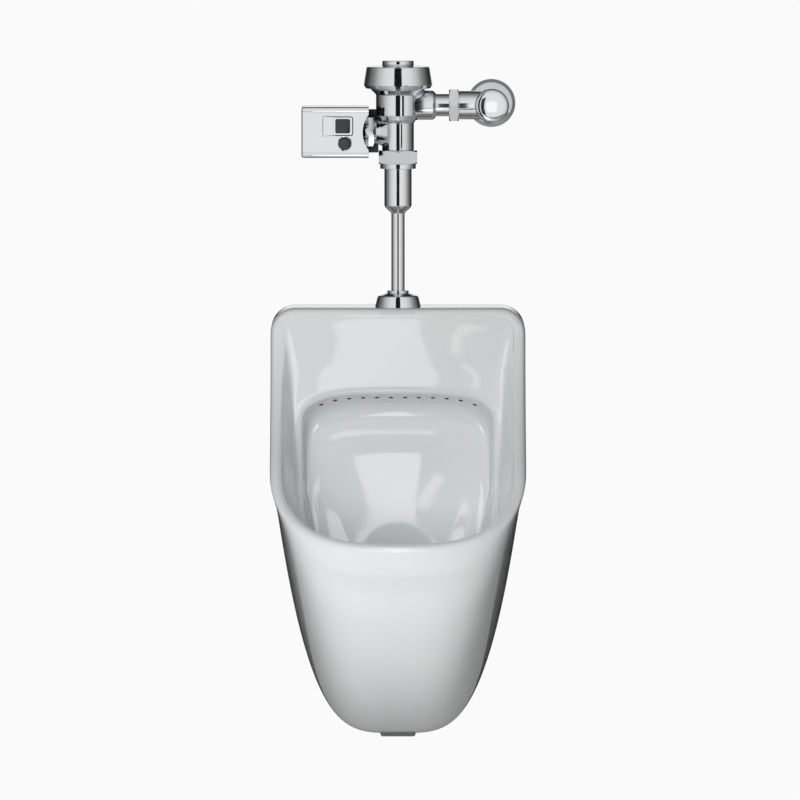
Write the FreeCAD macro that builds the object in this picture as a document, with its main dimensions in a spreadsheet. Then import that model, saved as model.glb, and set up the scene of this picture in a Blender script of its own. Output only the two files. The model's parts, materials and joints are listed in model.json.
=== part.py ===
import FreeCAD, Part
import math
import os
import re
import Sketcher

# A wall-hung washdown urinal with its exposed sensor flush valve and control stop.
# Millimetres. +X is to the viewer's right, +Y goes into the wall, +Z is up.
# The origin is the centre of the waste outlet on the finished wall.
# A "reach" is a distance out from that wall.

Vector = FreeCAD.Vector

SIZES = {
    # China body: front outline
    "china_top": 500.0,
    "china_height": 619.0,
    "china_half_width": 182.0,
    "china_corner": 36.0,
    "china_taper_start": 225.0,
    "china_wall": 11.0,
    # China body: rim, wings and lip
    "panel_reach": 112.0,
    "panel_crown": 6.0,
    "rim_round": 8.0,
    "lip_round": 14.0,
    "wing_foot_drop": 224.0,
    "wing_foot_reach": 235.0,
    "lip_drop": 336.0,
    "lip_reach": 348.0,
    # China body: recess, ledge and bowl
    "recess_half_width": 143.0,
    "recess_top_drop": 118.0,
    "recess_side_drop": 185.0,
    "recess_foot_drop": 245.0,
    "recess_edge_round": 6.0,
    "panel_setback": 3.0,
    "ledge_depth": 42.0,
    "ledge_side_in": 4.0,
    "ledge_foot_drop": 6.0,
    "lip_inner_setback": 26.0,
    "lip_inner_drop": 40.0,
    "bowl_front_setback": 42.0,
    "bowl_front_drop": 90.0,
    "bowl_back_fall": 150.0,
    "bowl_front_fall": 62.0,
    "bowl_front_lean": 12.0,
    "sump_rise": 6.0,
    "ledge_fall": 22.0,
    "bowl_back_reach": 46.0,
    "sump_height": 12.0,
    "drain_reach": 130.0,
    "drain_recess_radius": 32.0,
    "drain_recess_depth": 6.0,
    "sump_floor": 18.0,
    "sump_hollow_height": 75.0,
    # Spray holes under the ledge
    "spray_hole_radius": 2.6,
    "spray_hole_pitch": 20.0,
    "spray_hole_count": 12.0,
    "spray_hole_mouth": 4.0,
    "spray_hole_depth": 42.0,
    "spray_chamber_half_width": 112.0,
    # Trapway cast into the china
    "trap_bore_radius": 20.0,
    "trap_tube_radius": 26.0,
    "trap_bend_radius": 30.0,
    "trap_dip": 91.0,
    "trap_foot_draft": 1.5,
    # Back of the china and the wall hangers
    "back_pocket_depth": 34.0,
    "back_pocket_drop": 120.0,
    "hanger_spacing": 290.0,
    "hanger_width": 32.0,
    "hanger_height": 52.0,
    "hanger_plate": 3.0,
    "hanger_hook": 16.0,
    "hanger_drop": 30.0,
    "hanger_screw_radius": 3.3,
    "hanger_screw_pitch": 24.0,
    # Waste outlet at the wall
    "outlet_bore_radius": 30.15,
    "outlet_flange_radius": 54.0,
    "outlet_flange_thickness": 10.0,
    "outlet_gasket_thickness": 6.0,
    "outlet_boss_thickness": 14.0,
    "outlet_bolt_radius": 4.0,
    "outlet_bolt_offset": 31.0,
    "outlet_nut_flats": 13.0,
    "outlet_nut_thickness": 6.5,
    "strainer_radius": 30.0,
    "strainer_thickness": 2.5,
    "strainer_hole_radius": 3.2,
    "strainer_hole_circle": 18.0,
    "strainer_hole_count": 10.0,
    "strainer_screw_radius": 2.5,
    # Fits
    "clearance": 0.3,
    "slip": 0.1,
    "running": 0.05,
    # Spud in the top of the china
    "valve_reach": 75.0,
    "spud_radius": 14.5,
    "spud_flange_radius": 18.0,
    "spud_flange_thickness": 4.0,
    "spud_gasket_thickness": 3.0,
    "spud_rise": 12.0,
    "spud_nut_flats": 40.0,
    "spud_nut_height": 16.5,
    "slip_gasket_thickness": 2.5,
    "cone_foot_radius": 33.0,
    "cone_top_radius": 29.0,
    "cone_height": 18.0,
    "cone_skin": 1.5,
    "collar_radius": 15.3,
    "collar_height": 5.7,
    # Flush tube with its vacuum breaker
    "supply_rise": 289.0,
    "tube_radius": 9.525,
    "tube_wall": 0.9,
    "tube_insert": 8.0,
    "breaker_radius": 19.5,
    "breaker_length": 59.0,
    "neck_length": 8.0,
    "neck_step": 2.0,
    "tube_flange_thickness": 2.0,
    "cage_length": 34.0,
    "cage_flange": 1.5,
    "cage_wall": 3.0,
    "sleeve_wall": 1.8,
    # Outlet coupling nut
    "outlet_coupling_flats": 55.0,
    "outlet_coupling_height": 19.5,
    "outlet_skirt_radius": 25.5,
    "outlet_skirt_height": 7.0,
    "outlet_shelf": 3.0,
    "outlet_nut_chamfer": 3.0,
    "nut_chamfer": 2.0,
    "nut_corner_share": 0.57,
    "nut_face_share": 0.5,
    "outlet_slip_gasket_thickness": 5.5,
    # Valve body, heights from the supply axis
    "barrel_radius": 22.7,
    "barrel_drop": 64.5,
    "nipple_radius": 21.0,
    "waterway_radius": 14.0,
    "seat_wall": 3.0,
    "bowl_radius": 31.4,
    "bowl_drop": 21.6,
    "bowl_round": 9.0,
    "bowl_foot_height": 3.0,
    "bowl_foot_width": 2.0,
    "bowl_rise": 16.0,
    "body_neck_radius": 40.0,
    "body_flare": 6.0,
    "body_top": 32.0,
    "chamber_radius": 27.0,
    "chamber_drop": 11.0,
    "main_seat_height": 2.7,
    # Cap and the parts under it
    "cap_foot_rise": 24.0,
    "cap_widest_rise": 29.0,
    "cap_widest_radius": 49.0,
    "cap_shoulder_rise": 55.5,
    "cap_shoulder_radius": 45.0,
    "cap_hat_radius": 22.5,
    "cap_hat_rise": 57.2,
    "cap_top_rise": 63.7,
    "cap_wall": 3.0,
    "cap_press_radius": 34.0,
    "diaphragm_radius": 38.5,
    "diaphragm_thickness": 2.0,
    "inside_cover_wall": 2.0,
    "inside_cover_ring": 2.5,
    "inside_cover_turret_radius": 17.5,
    "guide_radius": 11.3,
    "guide_wall": 3.0,
    "guide_flange_radius": 20.0,
    "guide_flange_thickness": 2.7,
    "guide_length": 22.0,
    "relief_disc_radius": 12.0,
    "relief_disc_thickness": 3.7,
    "relief_stem_radius": 3.2,
    "relief_stem_overrun": 7.0,
    # Inlet: tailpiece and its nut, lengths from the valve axis
    "inlet_boss_radius": 21.0,
    "inlet_boss_reach": 54.0,
    "inlet_boss_chamfer": 4.0,
    "inlet_bore_radius": 10.0,
    "tailpiece_radius": 16.0,
    "tailpiece_bore_radius": 12.0,
    "tailpiece_socket": 18.0,
    "tailpiece_length": 68.0,
    "tailpiece_nut_start": 73.0,
    "tailpiece_nut_length": 14.0,
    "tailpiece_nut_flats": 45.0,
    "tailpiece_nut_lip": 3.0,
    "o_ring_section": 2.4,
    "lock_ring_thickness": 2.0,
    # Control stop, reaches from the wall
    "stop_offset": 134.0,
    "stop_tube_radius": 20.4,
    "stop_thread_radius": 19.3,
    "stop_tube_start": 88.0,
    "stop_radius": 22.0,
    "stop_back_reach": 40.0,
    "stop_foot_lip": 2.0,
    "stop_foot_length": 6.0,
    "stop_front_reach": 96.0,
    "supply_tube_radius": 11.2,
    "supply_socket_depth": 20.0,
    "stop_seat_reach": 67.0,
    "stop_seat_radius": 9.5,
    "stop_chamber_radius": 16.0,
    "bonnet_thread_radius": 18.5,
    "bonnet_thread_length": 10.0,
    "bonnet_flange_thickness": 3.0,
    "bonnet_ring_thickness": 2.0,
    "piston_radius": 12.0,
    "piston_thickness": 4.0,
    "piston_travel": 5.5,
    "piston_collar_radius": 7.5,
    "piston_collar_length": 10.0,
    "stop_spring_radius": 10.5,
    "stop_spring_wire": 2.3,
    "stop_screw_radius": 5.0,
    "stop_screw_head": 3.0,
    "stop_screw_head_radius": 6.5,
    "stop_screw_shoulder": 2.0,
    "stop_screw_shoulder_radius": 7.0,
    "screw_slot_width": 1.6,
    "stop_cap_radius": 24.5,
    "stop_cap_foot_reach": 96.0,
    "stop_cap_shoulder_reach": 106.0,
    "stop_cap_front_reach": 116.0,
    "stop_cap_wall": 1.9,
    "sleeve_radius": 17.0,
    "supply_sleeve_wall": 1.5,
    "wall_flange_radius": 34.5,
    "wall_flange_neck_radius": 21.5,
    "wall_flange_length": 13.0,
    "wall_flange_lip": 2.5,
    "set_screw_radius": 2.0,
    "set_screw_reach": 9.0,
    # Sensor operator, lengths to the left of the valve axis
    "plunger_drop": 38.0,
    "handle_boss_radius": 17.0,
    "handle_boss_reach": 40.0,
    "operator_nut_start": 34.0,
    "operator_nut_length": 14.0,
    "operator_nut_flats": 41.0,
    "operator_nut_lip": 3.0,
    "handle_gasket_thickness": 2.0,
    "bushing_radius": 9.0,
    "bushing_start": 16.0,
    "base_gasket_radius": 18.0,
    "plunger_radius": 5.0,
    "plunger_nose_radius": 2.0,
    "plunger_nose_length": 4.0,
    "plunger_collar_radius": 8.0,
    "plunger_stroke": 7.0,
    "plunger_collar_start": 68.0,
    "plunger_collar_width": 2.0,
    "plunger_tail_radius": 1.2,
    "plunger_tail_length": 4.0,
    "plunger_spring_wire": 1.9,
    "base_near": 52.0,
    "base_plate": 4.0,
    "base_shelf": 3.0,
    "base_bar_depth": 6.0,
    "base_bar_setback": 1.6,
    "base_bar_half_height": 31.0,
    "base_bar_near": 28.0,
    "cover_near": 42.0,
    "cover_length": 96.0,
    "cover_depth": 66.0,
    "cover_height": 73.0,
    "cover_round": 9.5,
    "cover_wall": 2.0,
    "cover_scoop_radius": 42.0,
    "cover_scoop_near": 50.5,
    "window_offset": 79.0,
    "window_rise": 9.0,
    "window_width": 30.0,
    "window_height": 28.0,
    "window_thickness": 3.0,
    "button_offset": 76.0,
    "button_drop": 16.0,
    "button_radius": 7.7,
    "button_proud": 0.5,
    "button_travel": 3.0,
    "button_flange_radius": 9.0,
    "button_flange_thickness": 2.2,
    "button_stem_radius": 3.0,
    "button_spring_wire": 1.6,
    "board_setback": 10.4,
    "board_thickness": 1.6,
    "diode_radius": 2.5,
    "diode_pitch": 10.0,
    "board_width": 44.0,
    "battery_radius": 7.25,
    "battery_length": 50.5,
    "battery_pitch": 14.7,
    "battery_count": 4.0,
    "battery_near": 83.5,
    "holder_plate": 1.5,
    "cam_offset": 85.0,
    "cam_low_radius": 6.8,
    "cam_thickness": 10.7,
    "cam_sweep": 270.0,
    "gear_module": 0.7,
    "cam_gear_teeth": 36.0,
    "pinion_teeth": 12.0,
    "gear_thickness": 5.0,
    "cam_shaft_radius": 3.0,
    "motor_radius": 12.0,
    "motor_length": 26.0,
    "motor_shaft_radius": 1.5,
    "motor_gap": 2.0,
    "motor_can": 2.0,
    "rotor_radius": 9.5,
    "rotor_play": 0.5,
    "gear_gap": 1.0,
    "motor_wall_thickness": 2.0,
    "motor_wall_width": 16.0,
    "cam_boss_radius": 6.0,
    "cover_screw_radius": 2.0,
}

doc = FreeCAD.newDocument("urinal")
sheet = doc.addObject("Spreadsheet::Sheet", "sizes")
for row, (alias, value) in enumerate(SIZES.items(), start=1):
    sheet.set(f"A{row}", alias)
    sheet.set(f"B{row}", str(value))
    sheet.setAlias(f"B{row}", alias)
doc.recompute()

finished = []


def size(alias):
    """The number in one cell of the sheet."""
    return float(sheet.get(alias))


# China body: closed rings from the wall outline, over the rim and down the bowl to the drain

LOWER_STEPS = 12
SIDE_STEPS = 4
CORNER_STEPS = 4
TOP_STEPS = 4
TAPER_POWER = 1.0
SIDE_POWER = 3.73
LIP_POWER = 2.8
RECESS_TOP_POWER = 3.6
RECESS_LOW_POWER = 2.6
FRONT_POWER = 2.2
WING_POWER = 1.8


LEAVE_SHARE = 0.8
SUMP_SPREAD = 2.3


def mix(first, second, share):
    return first + (second - first) * share


def smooth(share):
    share = min(max(share, 0.0), 1.0)
    return share * share * (3.0 - 2.0 * share)


def lower_angles():
    """Angles from the bottom centre round to the side, closer together near the flat bottom."""
    return [math.radians(90.0 * (1.0 - (i / LOWER_STEPS) ** 1.5)) for i in range(LOWER_STEPS + 1)]


def power(base, exponent):
    return max(base, 0.0) ** exponent


def wall_outline():
    """Half of the outline on the wall, bottom centre to top centre, as (across, height)."""
    top = size("china_top")
    half = size("china_half_width")
    start = size("china_taper_start")
    run = size("china_height") - start
    corner = size("china_corner")
    points = []
    for angle in lower_angles():
        across = half * power(math.cos(angle), 2.0 / SIDE_POWER)
        points.append((across, top - start - run * power(math.sin(angle), 2.0 / TAPER_POWER)))
    for i in range(1, SIDE_STEPS + 1):
        points.append((half, mix(top - start, top - corner, i / SIDE_STEPS)))
    for i in range(1, CORNER_STEPS + 1):
        turn = math.radians(90.0 * i / CORNER_STEPS)
        points.append((half - corner + corner * math.cos(turn), top - corner + corner * math.sin(turn)))
    for i in range(1, TOP_STEPS + 1):
        points.append(((half - corner) * (1.0 - i / TOP_STEPS), top))
    return points


def lower_share():
    """How much each point of a half ring belongs to the front bowl: 1 at the lip, 0 up the wings."""
    shares = [smooth(math.sin(angle) * 1.6) for angle in lower_angles()]
    return shares + [0.0] * (SIDE_STEPS + CORNER_STEPS + TOP_STEPS)


def rim_crest():
    """Half of the rim's foremost line, as (across, reach, height)."""
    top = size("china_top")
    inset = size("rim_round")
    half = size("china_half_width") - inset
    corner = size("china_corner") - inset
    foot = top - size("wing_foot_drop")
    lip = top - size("lip_drop")
    foot_reach = size("wing_foot_reach")
    panel = size("panel_reach")
    shoulder = top - inset - corner
    points = []
    for angle in lower_angles():
        across = half * power(math.cos(angle), 2.0 / LIP_POWER)
        reach = mix(foot_reach, size("lip_reach"), power(math.sin(angle), 2.0 / LIP_POWER))
        points.append((across, reach, mix(foot, lip, power(math.sin(angle), 2.0 / LIP_POWER))))
    for i in range(1, SIDE_STEPS + 1):
        share = i / SIDE_STEPS
        points.append((half, mix(panel, foot_reach, power(1.0 - share, WING_POWER)),
            mix(foot, shoulder, share)))
    for i in range(1, CORNER_STEPS + 1):
        turn = math.radians(90.0 * i / CORNER_STEPS)
        points.append((half - corner + corner * math.cos(turn), panel, shoulder + corner * math.sin(turn)))
    for i in range(1, TOP_STEPS + 1):
        share = i / TOP_STEPS
        crown = size("panel_crown") * smooth(share)
        points.append(((half - corner) * (1.0 - share), panel + crown, shoulder + corner))
    return points


def recess_line(half, side_low, side_high, crown, front_reach, back_reach, low_drop):
    """Half of one closed line inside the opening: low front, straight side, arched top."""
    top = size("china_top")
    points = []
    for angle in lower_angles():
        across = half * power(math.cos(angle), 2.0 / RECESS_LOW_POWER)
        height = mix(top - side_low, top - low_drop, power(math.sin(angle), 2.0 / RECESS_LOW_POWER))
        points.append((across, mix(back_reach, front_reach, power(math.sin(angle), 1.3)), height))
    for i in range(1, SIDE_STEPS + 1):
        points.append((half, back_reach, mix(top - side_low, top - side_high, i / SIDE_STEPS)))
    rise = side_high - crown
    turn_across = half * 0.5 ** (1.0 / RECESS_TOP_POWER)
    for i in range(1, CORNER_STEPS + 1):
        turn = math.radians(45.0 * i / CORNER_STEPS)
        across = half * power(math.cos(turn), 2.0 / RECESS_TOP_POWER)
        points.append((across, back_reach,
            top - side_high + rise * power(math.sin(turn), 2.0 / RECESS_TOP_POWER)))
    for i in range(1, TOP_STEPS + 1):
        across = turn_across * (1.0 - i / TOP_STEPS)
        height = rise * power(1.0 - (across / half) ** RECESS_TOP_POWER, 1.0 / RECESS_TOP_POWER)
        points.append((across, back_reach, top - side_high + height))
    return points


def inward_normals(line):
    """Unit (across, height) directions square to a half ring in the front view, pointing into the opening."""
    flat = [(point[0], point[-1]) for point in line]
    flat = [(-flat[1][0], flat[1][1])] + flat + [(-flat[-2][0], flat[-2][1])]
    normals = []
    for before, after in zip(flat, flat[2:]):
        across = after[0] - before[0]
        height = after[1] - before[1]
        length = math.hypot(across, height)
        normals.append((-height / length, across / length))
    return normals


def china_half_rings():
    """Every half ring of the glazed surface, from the wall to the drain, as (across, reach, height)."""
    outline = wall_outline()
    crest = rim_crest()
    shares = lower_share()
    rim_round = size("rim_round")
    count = len(outline)
    straight = [0.0, 0.3, 0.6, 0.85, 1.0]
    turns = [math.radians(angle) for angle in (30.0, 60.0, 90.0)]
    sweep = [0.0, 0.22, 0.42, 0.6, 0.76, 0.86, 0.94, 1.0]
    inward = inward_normals(crest)
    rings = []
    for step, sweep_share in enumerate(sweep):
        ring = []
        for i in range(count):
            turn = turns[step - len(straight)] if step >= len(straight) else 0.0
            along = straight[step] if step < len(straight) else 1.0
            side_in = rim_round * (1.0 - math.cos(turn))
            side_reach = (crest[i][1] - rim_round) * along + rim_round * math.sin(turn)
            angle = math.radians(90.0 * sweep_share)
            front_in = 1.0 - power(math.cos(angle), 2.0 / FRONT_POWER)
            front_reach = crest[i][1] * power(math.sin(angle), 2.0 / FRONT_POWER)
            front_across = mix(outline[i][0], crest[i][0], front_in)
            front_height = mix(outline[i][1], crest[i][2], front_in)
            # The side strip ends on the crest's own height, so the two forms meet in one rim line
            follow = smooth(sweep_share)
            base_across = crest[i][0] - inward[i][0] * rim_round
            base_height = crest[i][2] - inward[i][1] * rim_round
            side_across = mix(outline[i][0], base_across, follow * follow) + inward[i][0] * side_in
            side_height = mix(outline[i][1], base_height, follow) + inward[i][1] * side_in
            ring.append((
                mix(side_across, front_across, shares[i]),
                mix(side_reach, front_reach, shares[i]),
                mix(side_height, front_height, shares[i]),
            ))
        rings.append(ring)
    # The rim rolls inwards at the lip and the wings, and fades into the flat panel at the top
    rolls = [mix(rim_round, size("lip_round"), share) for share in shares]
    wing = size("wing_foot_reach") - size("panel_reach")
    fades = [smooth((point[1] - size("panel_reach")) / wing) for point in crest]
    for turn in turns:
        rings.append([
            (
                crest[i][0] + inward[i][0] * rolls[i] * math.sin(turn),
                crest[i][1] - rolls[i] * (1.0 - math.cos(turn)) * fades[i],
                crest[i][2] + inward[i][1] * rolls[i] * math.sin(turn),
            )
            for i in range(count)
        ])
    nose = rings[-1]
    edge = recess_line(
        size("recess_half_width"), size("recess_foot_drop"), size("recess_side_drop"),
        size("recess_top_drop"),
        size("lip_reach") - size("lip_inner_setback"), size("panel_reach") - size("panel_setback"),
        size("lip_drop") + size("lip_inner_drop"),
    )
    for angle in (18.0, 36.0, 54.0, 72.0, 90.0):
        turn = math.radians(angle)
        rings.append([
            (
                mix(edge[i][0], nose[i][0], math.cos(turn)),
                mix(nose[i][1], edge[i][1], math.sin(turn)),
                mix(edge[i][2], nose[i][2], math.cos(turn)),
            )
            for i in range(count)
        ])
    edge_round = size("recess_edge_round")
    into = inward_normals(edge)
    for turn in turns[1:]:
        rings.append([
            (
                edge[i][0] + into[i][0] * edge_round * math.sin(turn) * (1.0 - shares[i]),
                edge[i][1] - edge_round * (1.0 - math.cos(turn)) * (1.0 - shares[i]) - shares[i] * turn,
                edge[i][2] + into[i][1] * edge_round * math.sin(turn),
            )
            for i in range(count)
        ])
    ledge = recess_line(
        size("recess_half_width") - edge_round - size("ledge_side_in"),
        size("recess_foot_drop") + size("ledge_foot_drop"),
        size("recess_side_drop") + size("ledge_fall"), size("recess_top_drop") + size("ledge_fall"),
        size("lip_reach") - size("bowl_front_setback"), edge[-1][1] - size("ledge_depth"),
        size("lip_drop") + size("bowl_front_drop"),
    )
    rings.append(ledge)
    back = size("bowl_back_reach")
    floor = size("sump_height")
    drain = size("drain_reach")
    radius = size("drain_recess_radius")
    for step in range(1, 9):
        share = step / 8.0
        weights = ((1 - share) ** 3, 3 * share * (1 - share) ** 2, 3 * share ** 2 * (1 - share), share ** 3)
        ring = []
        for i in range(count):
            start = ledge[i]
            swing = math.pi * i / (count - 1)
            mouth = (radius * math.sin(swing), drain + radius * math.cos(swing), floor)
            fall = mix(size("bowl_back_fall"), size("bowl_front_fall"), shares[i])
            lean = mix(back, start[1] - size("bowl_front_lean"), shares[i])
            leave = (start[0] * LEAVE_SHARE, lean, start[2] - fall)
            ahead = radius * math.cos(swing) * SUMP_SPREAD
            arrive = (mouth[0] * SUMP_SPREAD, drain + ahead, floor + size("sump_rise"))
            ring.append(tuple(
                weights[0] * start[k] + weights[1] * leave[k] + weights[2] * arrive[k] + weights[3] * mouth[k]
                for k in range(3)
            ))
        rings.append(ring)
    return rings


def ring_wire(half):
    """A closed wire through a half ring and its mirror image, starting at the bottom centre."""
    right = [Vector(across, -reach, height) for across, reach, height in half]
    left = [Vector(-across, -reach, height) for across, reach, height in half[-2:0:-1]]
    curve = Part.BSplineCurve()
    curve.interpolate(right + left, PeriodicFlag=True)
    return Part.Wire([curve.toShape()])


def china_skin():
    """One closed solid: a strip between each pair of rings, a flat back and a flat drain."""
    wires = [ring_wire(half) for half in china_half_rings()]
    faces = [
        Part.makeRuledSurface(first.Edges[0], second.Edges[0])
        for first, second in zip(wires, wires[1:])
    ]
    faces.append(Part.Face(wires[0]))
    faces.append(Part.Face(wires[-1]))
    shell = Part.makeShell(faces)
    shell.sewShape()
    solid = Part.Solid(shell)
    if solid.Volume < 0:
        solid.reverse()
    return solid


def at(across, reach, height):
    """A point given by its distance out from the wall."""
    return Vector(across, -reach, height)


def rod(start, end, radius):
    return Part.makeCylinder(radius, (end - start).Length, start, end - start)


def block(low_across, high_across, low_reach, high_reach, low_height, high_height):
    corner = at(low_across, high_reach, low_height)
    return Part.makeBox(high_across - low_across, high_reach - low_reach, high_height - low_height, corner)


def tube_bend(centre_reach, start_reach, height, radius, angle):
    """A bend of a round tube: the leg's end disc turned about a level axis."""
    disc = Part.Face(Part.Wire([Part.makeCircle(radius, at(0, start_reach, height), Vector(0, 0, 1))]))
    return disc.revolve(at(0, centre_reach, height), Vector(1, 0, 0), angle)


def trapway(radius):
    """The trap: down from the drain, round the dip, up and back to the wall."""
    bend = size("trap_bend_radius")
    low = bend - size("trap_dip")
    drain = size("drain_reach")
    rise = drain - 2.0 * bend
    turn = rise - bend
    legs = [
        rod(at(0, drain, size("sump_height")), at(0, drain, low), radius),
        tube_bend(drain - bend, drain, low, radius, 180.0),
        rod(at(0, rise, low), at(0, rise, -bend), radius),
        tube_bend(turn, rise, -bend, radius, -90.0),
        rod(at(0, turn, 0), at(0, 0, 0), radius),
    ]
    return legs[0].multiFuse(legs[1:])


def trap_foot():
    """The flat boss under the trap, with a little draft for its mould."""
    bend = size("trap_bend_radius")
    middle = size("drain_reach") - bend
    levels = [
        (-size("trap_dip") - size("trap_tube_radius"), size("trap_tube_radius") - size("trap_foot_draft")),
        (bend - size("trap_dip"), size("trap_tube_radius")),
    ]
    wires = []
    for height, half in levels:
        signs = ((-1, -1), (1, -1), (1, 1), (-1, 1), (-1, -1))
        wires.append(Part.makePolygon([
            at(side * half, middle + out * bend, height) for side, out in signs
        ]))
    return Part.makeLoft(wires, True, True)


def back_pocket():
    """The hollow behind the bowl, following the wall outline inside a rim of china."""
    inset = size("china_wall") * 1.5
    half = size("china_half_width")
    middle = size("china_top") - size("china_taper_start")
    shrink = (half - inset) / half
    lower = size("china_height") - size("china_taper_start")
    fall = (lower - inset) / lower
    outline = wall_outline()[:LOWER_STEPS + 1]
    right = [(across * shrink, middle + (height - middle) * fall) for across, height in outline]
    right.append((half - inset, size("china_top") - size("back_pocket_drop")))
    loop = right + [(-across, height) for across, height in right[:0:-1]]
    loop.append(loop[0])
    face = Part.Face(Part.makePolygon([at(across, -1.0, height) for across, height in loop]))
    return face.extrude(at(0, size("back_pocket_depth") + 1.0, 0))


def sump_hollow():
    """The hollow round the trap, open to the wall."""
    half = size("trap_tube_radius") * 2.7
    depth = size("drain_reach") - size("trap_bend_radius")
    top = size("sump_height") - size("sump_floor")
    return block(-half, half, -1.0, depth, top - size("sump_hollow_height"), top)


def hanger_centres():
    return [-size("hanger_spacing") / 2.0, size("hanger_spacing") / 2.0]


def hanger_pocket(centre):
    half = size("hanger_width") / 2.0 + size("china_wall") / 2.0
    top = size("china_top") - size("hanger_drop")
    depth = size("hanger_hook") + size("china_wall")
    return block(centre - half, centre + half, -1.0, depth,
        top - size("hanger_height") - size("china_wall"), top)


def spray_chamber():
    """The closed water box behind the panel that feeds the spray holes."""
    wall = size("china_wall")
    half = size("spray_chamber_half_width")
    front = size("valve_reach") + size("spud_flange_radius") + size("clearance") * 2.0
    bottom = size("china_top") - size("recess_top_drop") + wall * 1.5
    return block(-half, half, wall + 4.0, front, bottom, size("china_top") - wall)


def spray_holes():
    """Holes drilled square to the ledge's sloping underside, up into the water box."""
    half = size("recess_half_width")
    rise = size("recess_side_drop") - size("recess_top_drop")
    edge_round = size("recess_edge_round")
    run = size("ledge_depth") - edge_round
    fall = size("ledge_fall") - edge_round
    slope = math.hypot(run, fall)
    middle_reach = size("panel_reach") - size("panel_setback") - edge_round - run / 2.0
    middle_drop = size("recess_top_drop") + edge_round + fall / 2.0
    count = int(size("spray_hole_count"))
    square = at(0, fall / slope, -run / slope)
    holes = []
    for i in range(count):
        across = (i - (count - 1) / 2.0) * size("spray_hole_pitch")
        arch = rise * (1.0 - power(1.0 - (abs(across) / half) ** RECESS_TOP_POWER, 1.0 / RECESS_TOP_POWER))
        mouth = at(across, middle_reach, size("china_top") - middle_drop - arch)
        start = mouth + square * size("spray_hole_mouth")
        end = mouth - square * size("spray_hole_depth")
        holes.append(rod(start, end, size("spray_hole_radius")))
    return holes


def outlet_bolt_spots():
    offset = size("outlet_bolt_offset")
    return [(-offset, -offset), (offset, -offset)]


def china_body():
    seat = size("outlet_flange_thickness") + size("outlet_gasket_thickness")
    boss_end = seat + size("outlet_boss_thickness")
    flange = size("outlet_flange_radius")
    top = size("china_top")
    floor = size("sump_height")
    drain = size("drain_reach")
    hollows = [back_pocket(), sump_hollow(), spray_chamber()] + [hanger_pocket(x) for x in hanger_centres()]
    shell = china_skin().cut(hollows)
    boss = rod(at(0, 0, 0), at(0, boss_end, 0), flange)
    whole = shell.fuse([trapway(size("trap_tube_radius")), boss, trap_foot()])
    strainer_hole = size("strainer_radius") + size("clearance")
    spud_hole = size("spud_radius") + size("clearance")
    holes = [
        rod(at(0, -1.0, 0), at(0, seat, 0), flange + size("clearance") * 4.0),
        trapway(size("trap_bore_radius")),
        rod(at(0, drain, floor - size("drain_recess_depth")), at(0, drain, floor + 1.0), strainer_hole),
        rod(at(0, size("valve_reach"), top - size("china_wall") - 1.0),
        at(0, size("valve_reach"), top + 2.0), spud_hole),
    ]
    for across, height in outlet_bolt_spots():
        start = at(across, 0, height)
        holes.append(rod(start, at(across, boss_end + 1.0, height),
            size("outlet_bolt_radius") + size("clearance")))
    return whole.cut(holes + spray_holes()).removeSplitter()


china = doc.addObject("Part::Feature", "china_bowl")
china.Shape = china_body()
finished.append(china)


# Drawing helpers: every outline point, length and place is a formula of sheet names

UPRIGHT = FreeCAD.Rotation()
TO_RIGHT = FreeCAD.Rotation(Vector(0, 0, 1), Vector(1, 0, 0))
TO_LEFT = FreeCAD.Rotation(Vector(0, 0, 1), Vector(-1, 0, 0))
OUT_FROM_WALL = FreeCAD.Rotation(Vector(0, 0, 1), Vector(0, -1, 0))
QUARTER_FACET = FreeCAD.Rotation(Vector(0, 0, 1), 30.0)
ORIGIN = ("0", "0", "0")
SUPPLY_CENTRE = ("0", "-valve_reach", "china_top + supply_rise")
STOP_CENTRE = ("stop_offset", "0", "china_top + supply_rise")
PLUNGER_CENTRE = ("0", "-valve_reach", "china_top + supply_rise - plunger_drop")
SPUD_CENTRE = ("0", "-valve_reach", "china_top")
FLATS_TO_CORNER = "1.7320508"


def formula(words):
    return re.sub(r"[a-z][a-z_0-9]*", r"sizes.\g<0>", words)


def bind(item, field, words):
    item.setExpression(field, formula(words))


def place(item, spot, rotation=UPRIGHT):
    item.Placement = FreeCAD.Placement(Vector(), rotation)
    for letter, words in zip("xyz", spot):
        bind(item, f"Placement.Base.{letter}", words)


def shifted(spot, across="0", out="0", up="0"):
    """A place moved right, out from the wall and up from another."""
    return (f"{spot[0]} + ({across})", f"{spot[1]} - ({out})", f"{spot[2]} + ({up})")


# Where a sketch corner stands before its formulas place it
SKETCH_START = 10.0


def outlined_body(name, outline, plane_role):
    """A body with one closed sketch whose corners are all bound to the sheet."""
    body = doc.addObject("PartDesign::Body", name)
    sketch = body.newObject("Sketcher::SketchObject", name + "_outline")
    plane = [item for item in body.Origin.OriginFeatures if item.Role == plane_role][0]
    sketch.AttachmentSupport = [(plane, "")]
    sketch.MapMode = "FlatFace"
    count = len(outline)
    spread = [2.0 * math.pi * i / count for i in range(count)]
    start = [Vector(SKETCH_START * (2.0 + math.cos(turn)), SKETCH_START * math.sin(turn), 0)
        for turn in spread]
    sketch.addGeometry([Part.LineSegment(start[i], start[(i + 1) % count]) for i in range(count)], False)
    sketch.addConstraint([Sketcher.Constraint("Coincident", i, 2, (i + 1) % count, 1)
        for i in range(count)])
    for i, corner in enumerate(outline):
        for kind, words, first in (("DistanceX", corner[0], start[i].x),
            ("DistanceY", corner[1], start[i].y)):
            index = sketch.addConstraint(Sketcher.Constraint(kind, -1, 1, i, 1, first))
            bind(sketch, f"Constraints[{index}]", words)
    return body, sketch


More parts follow.
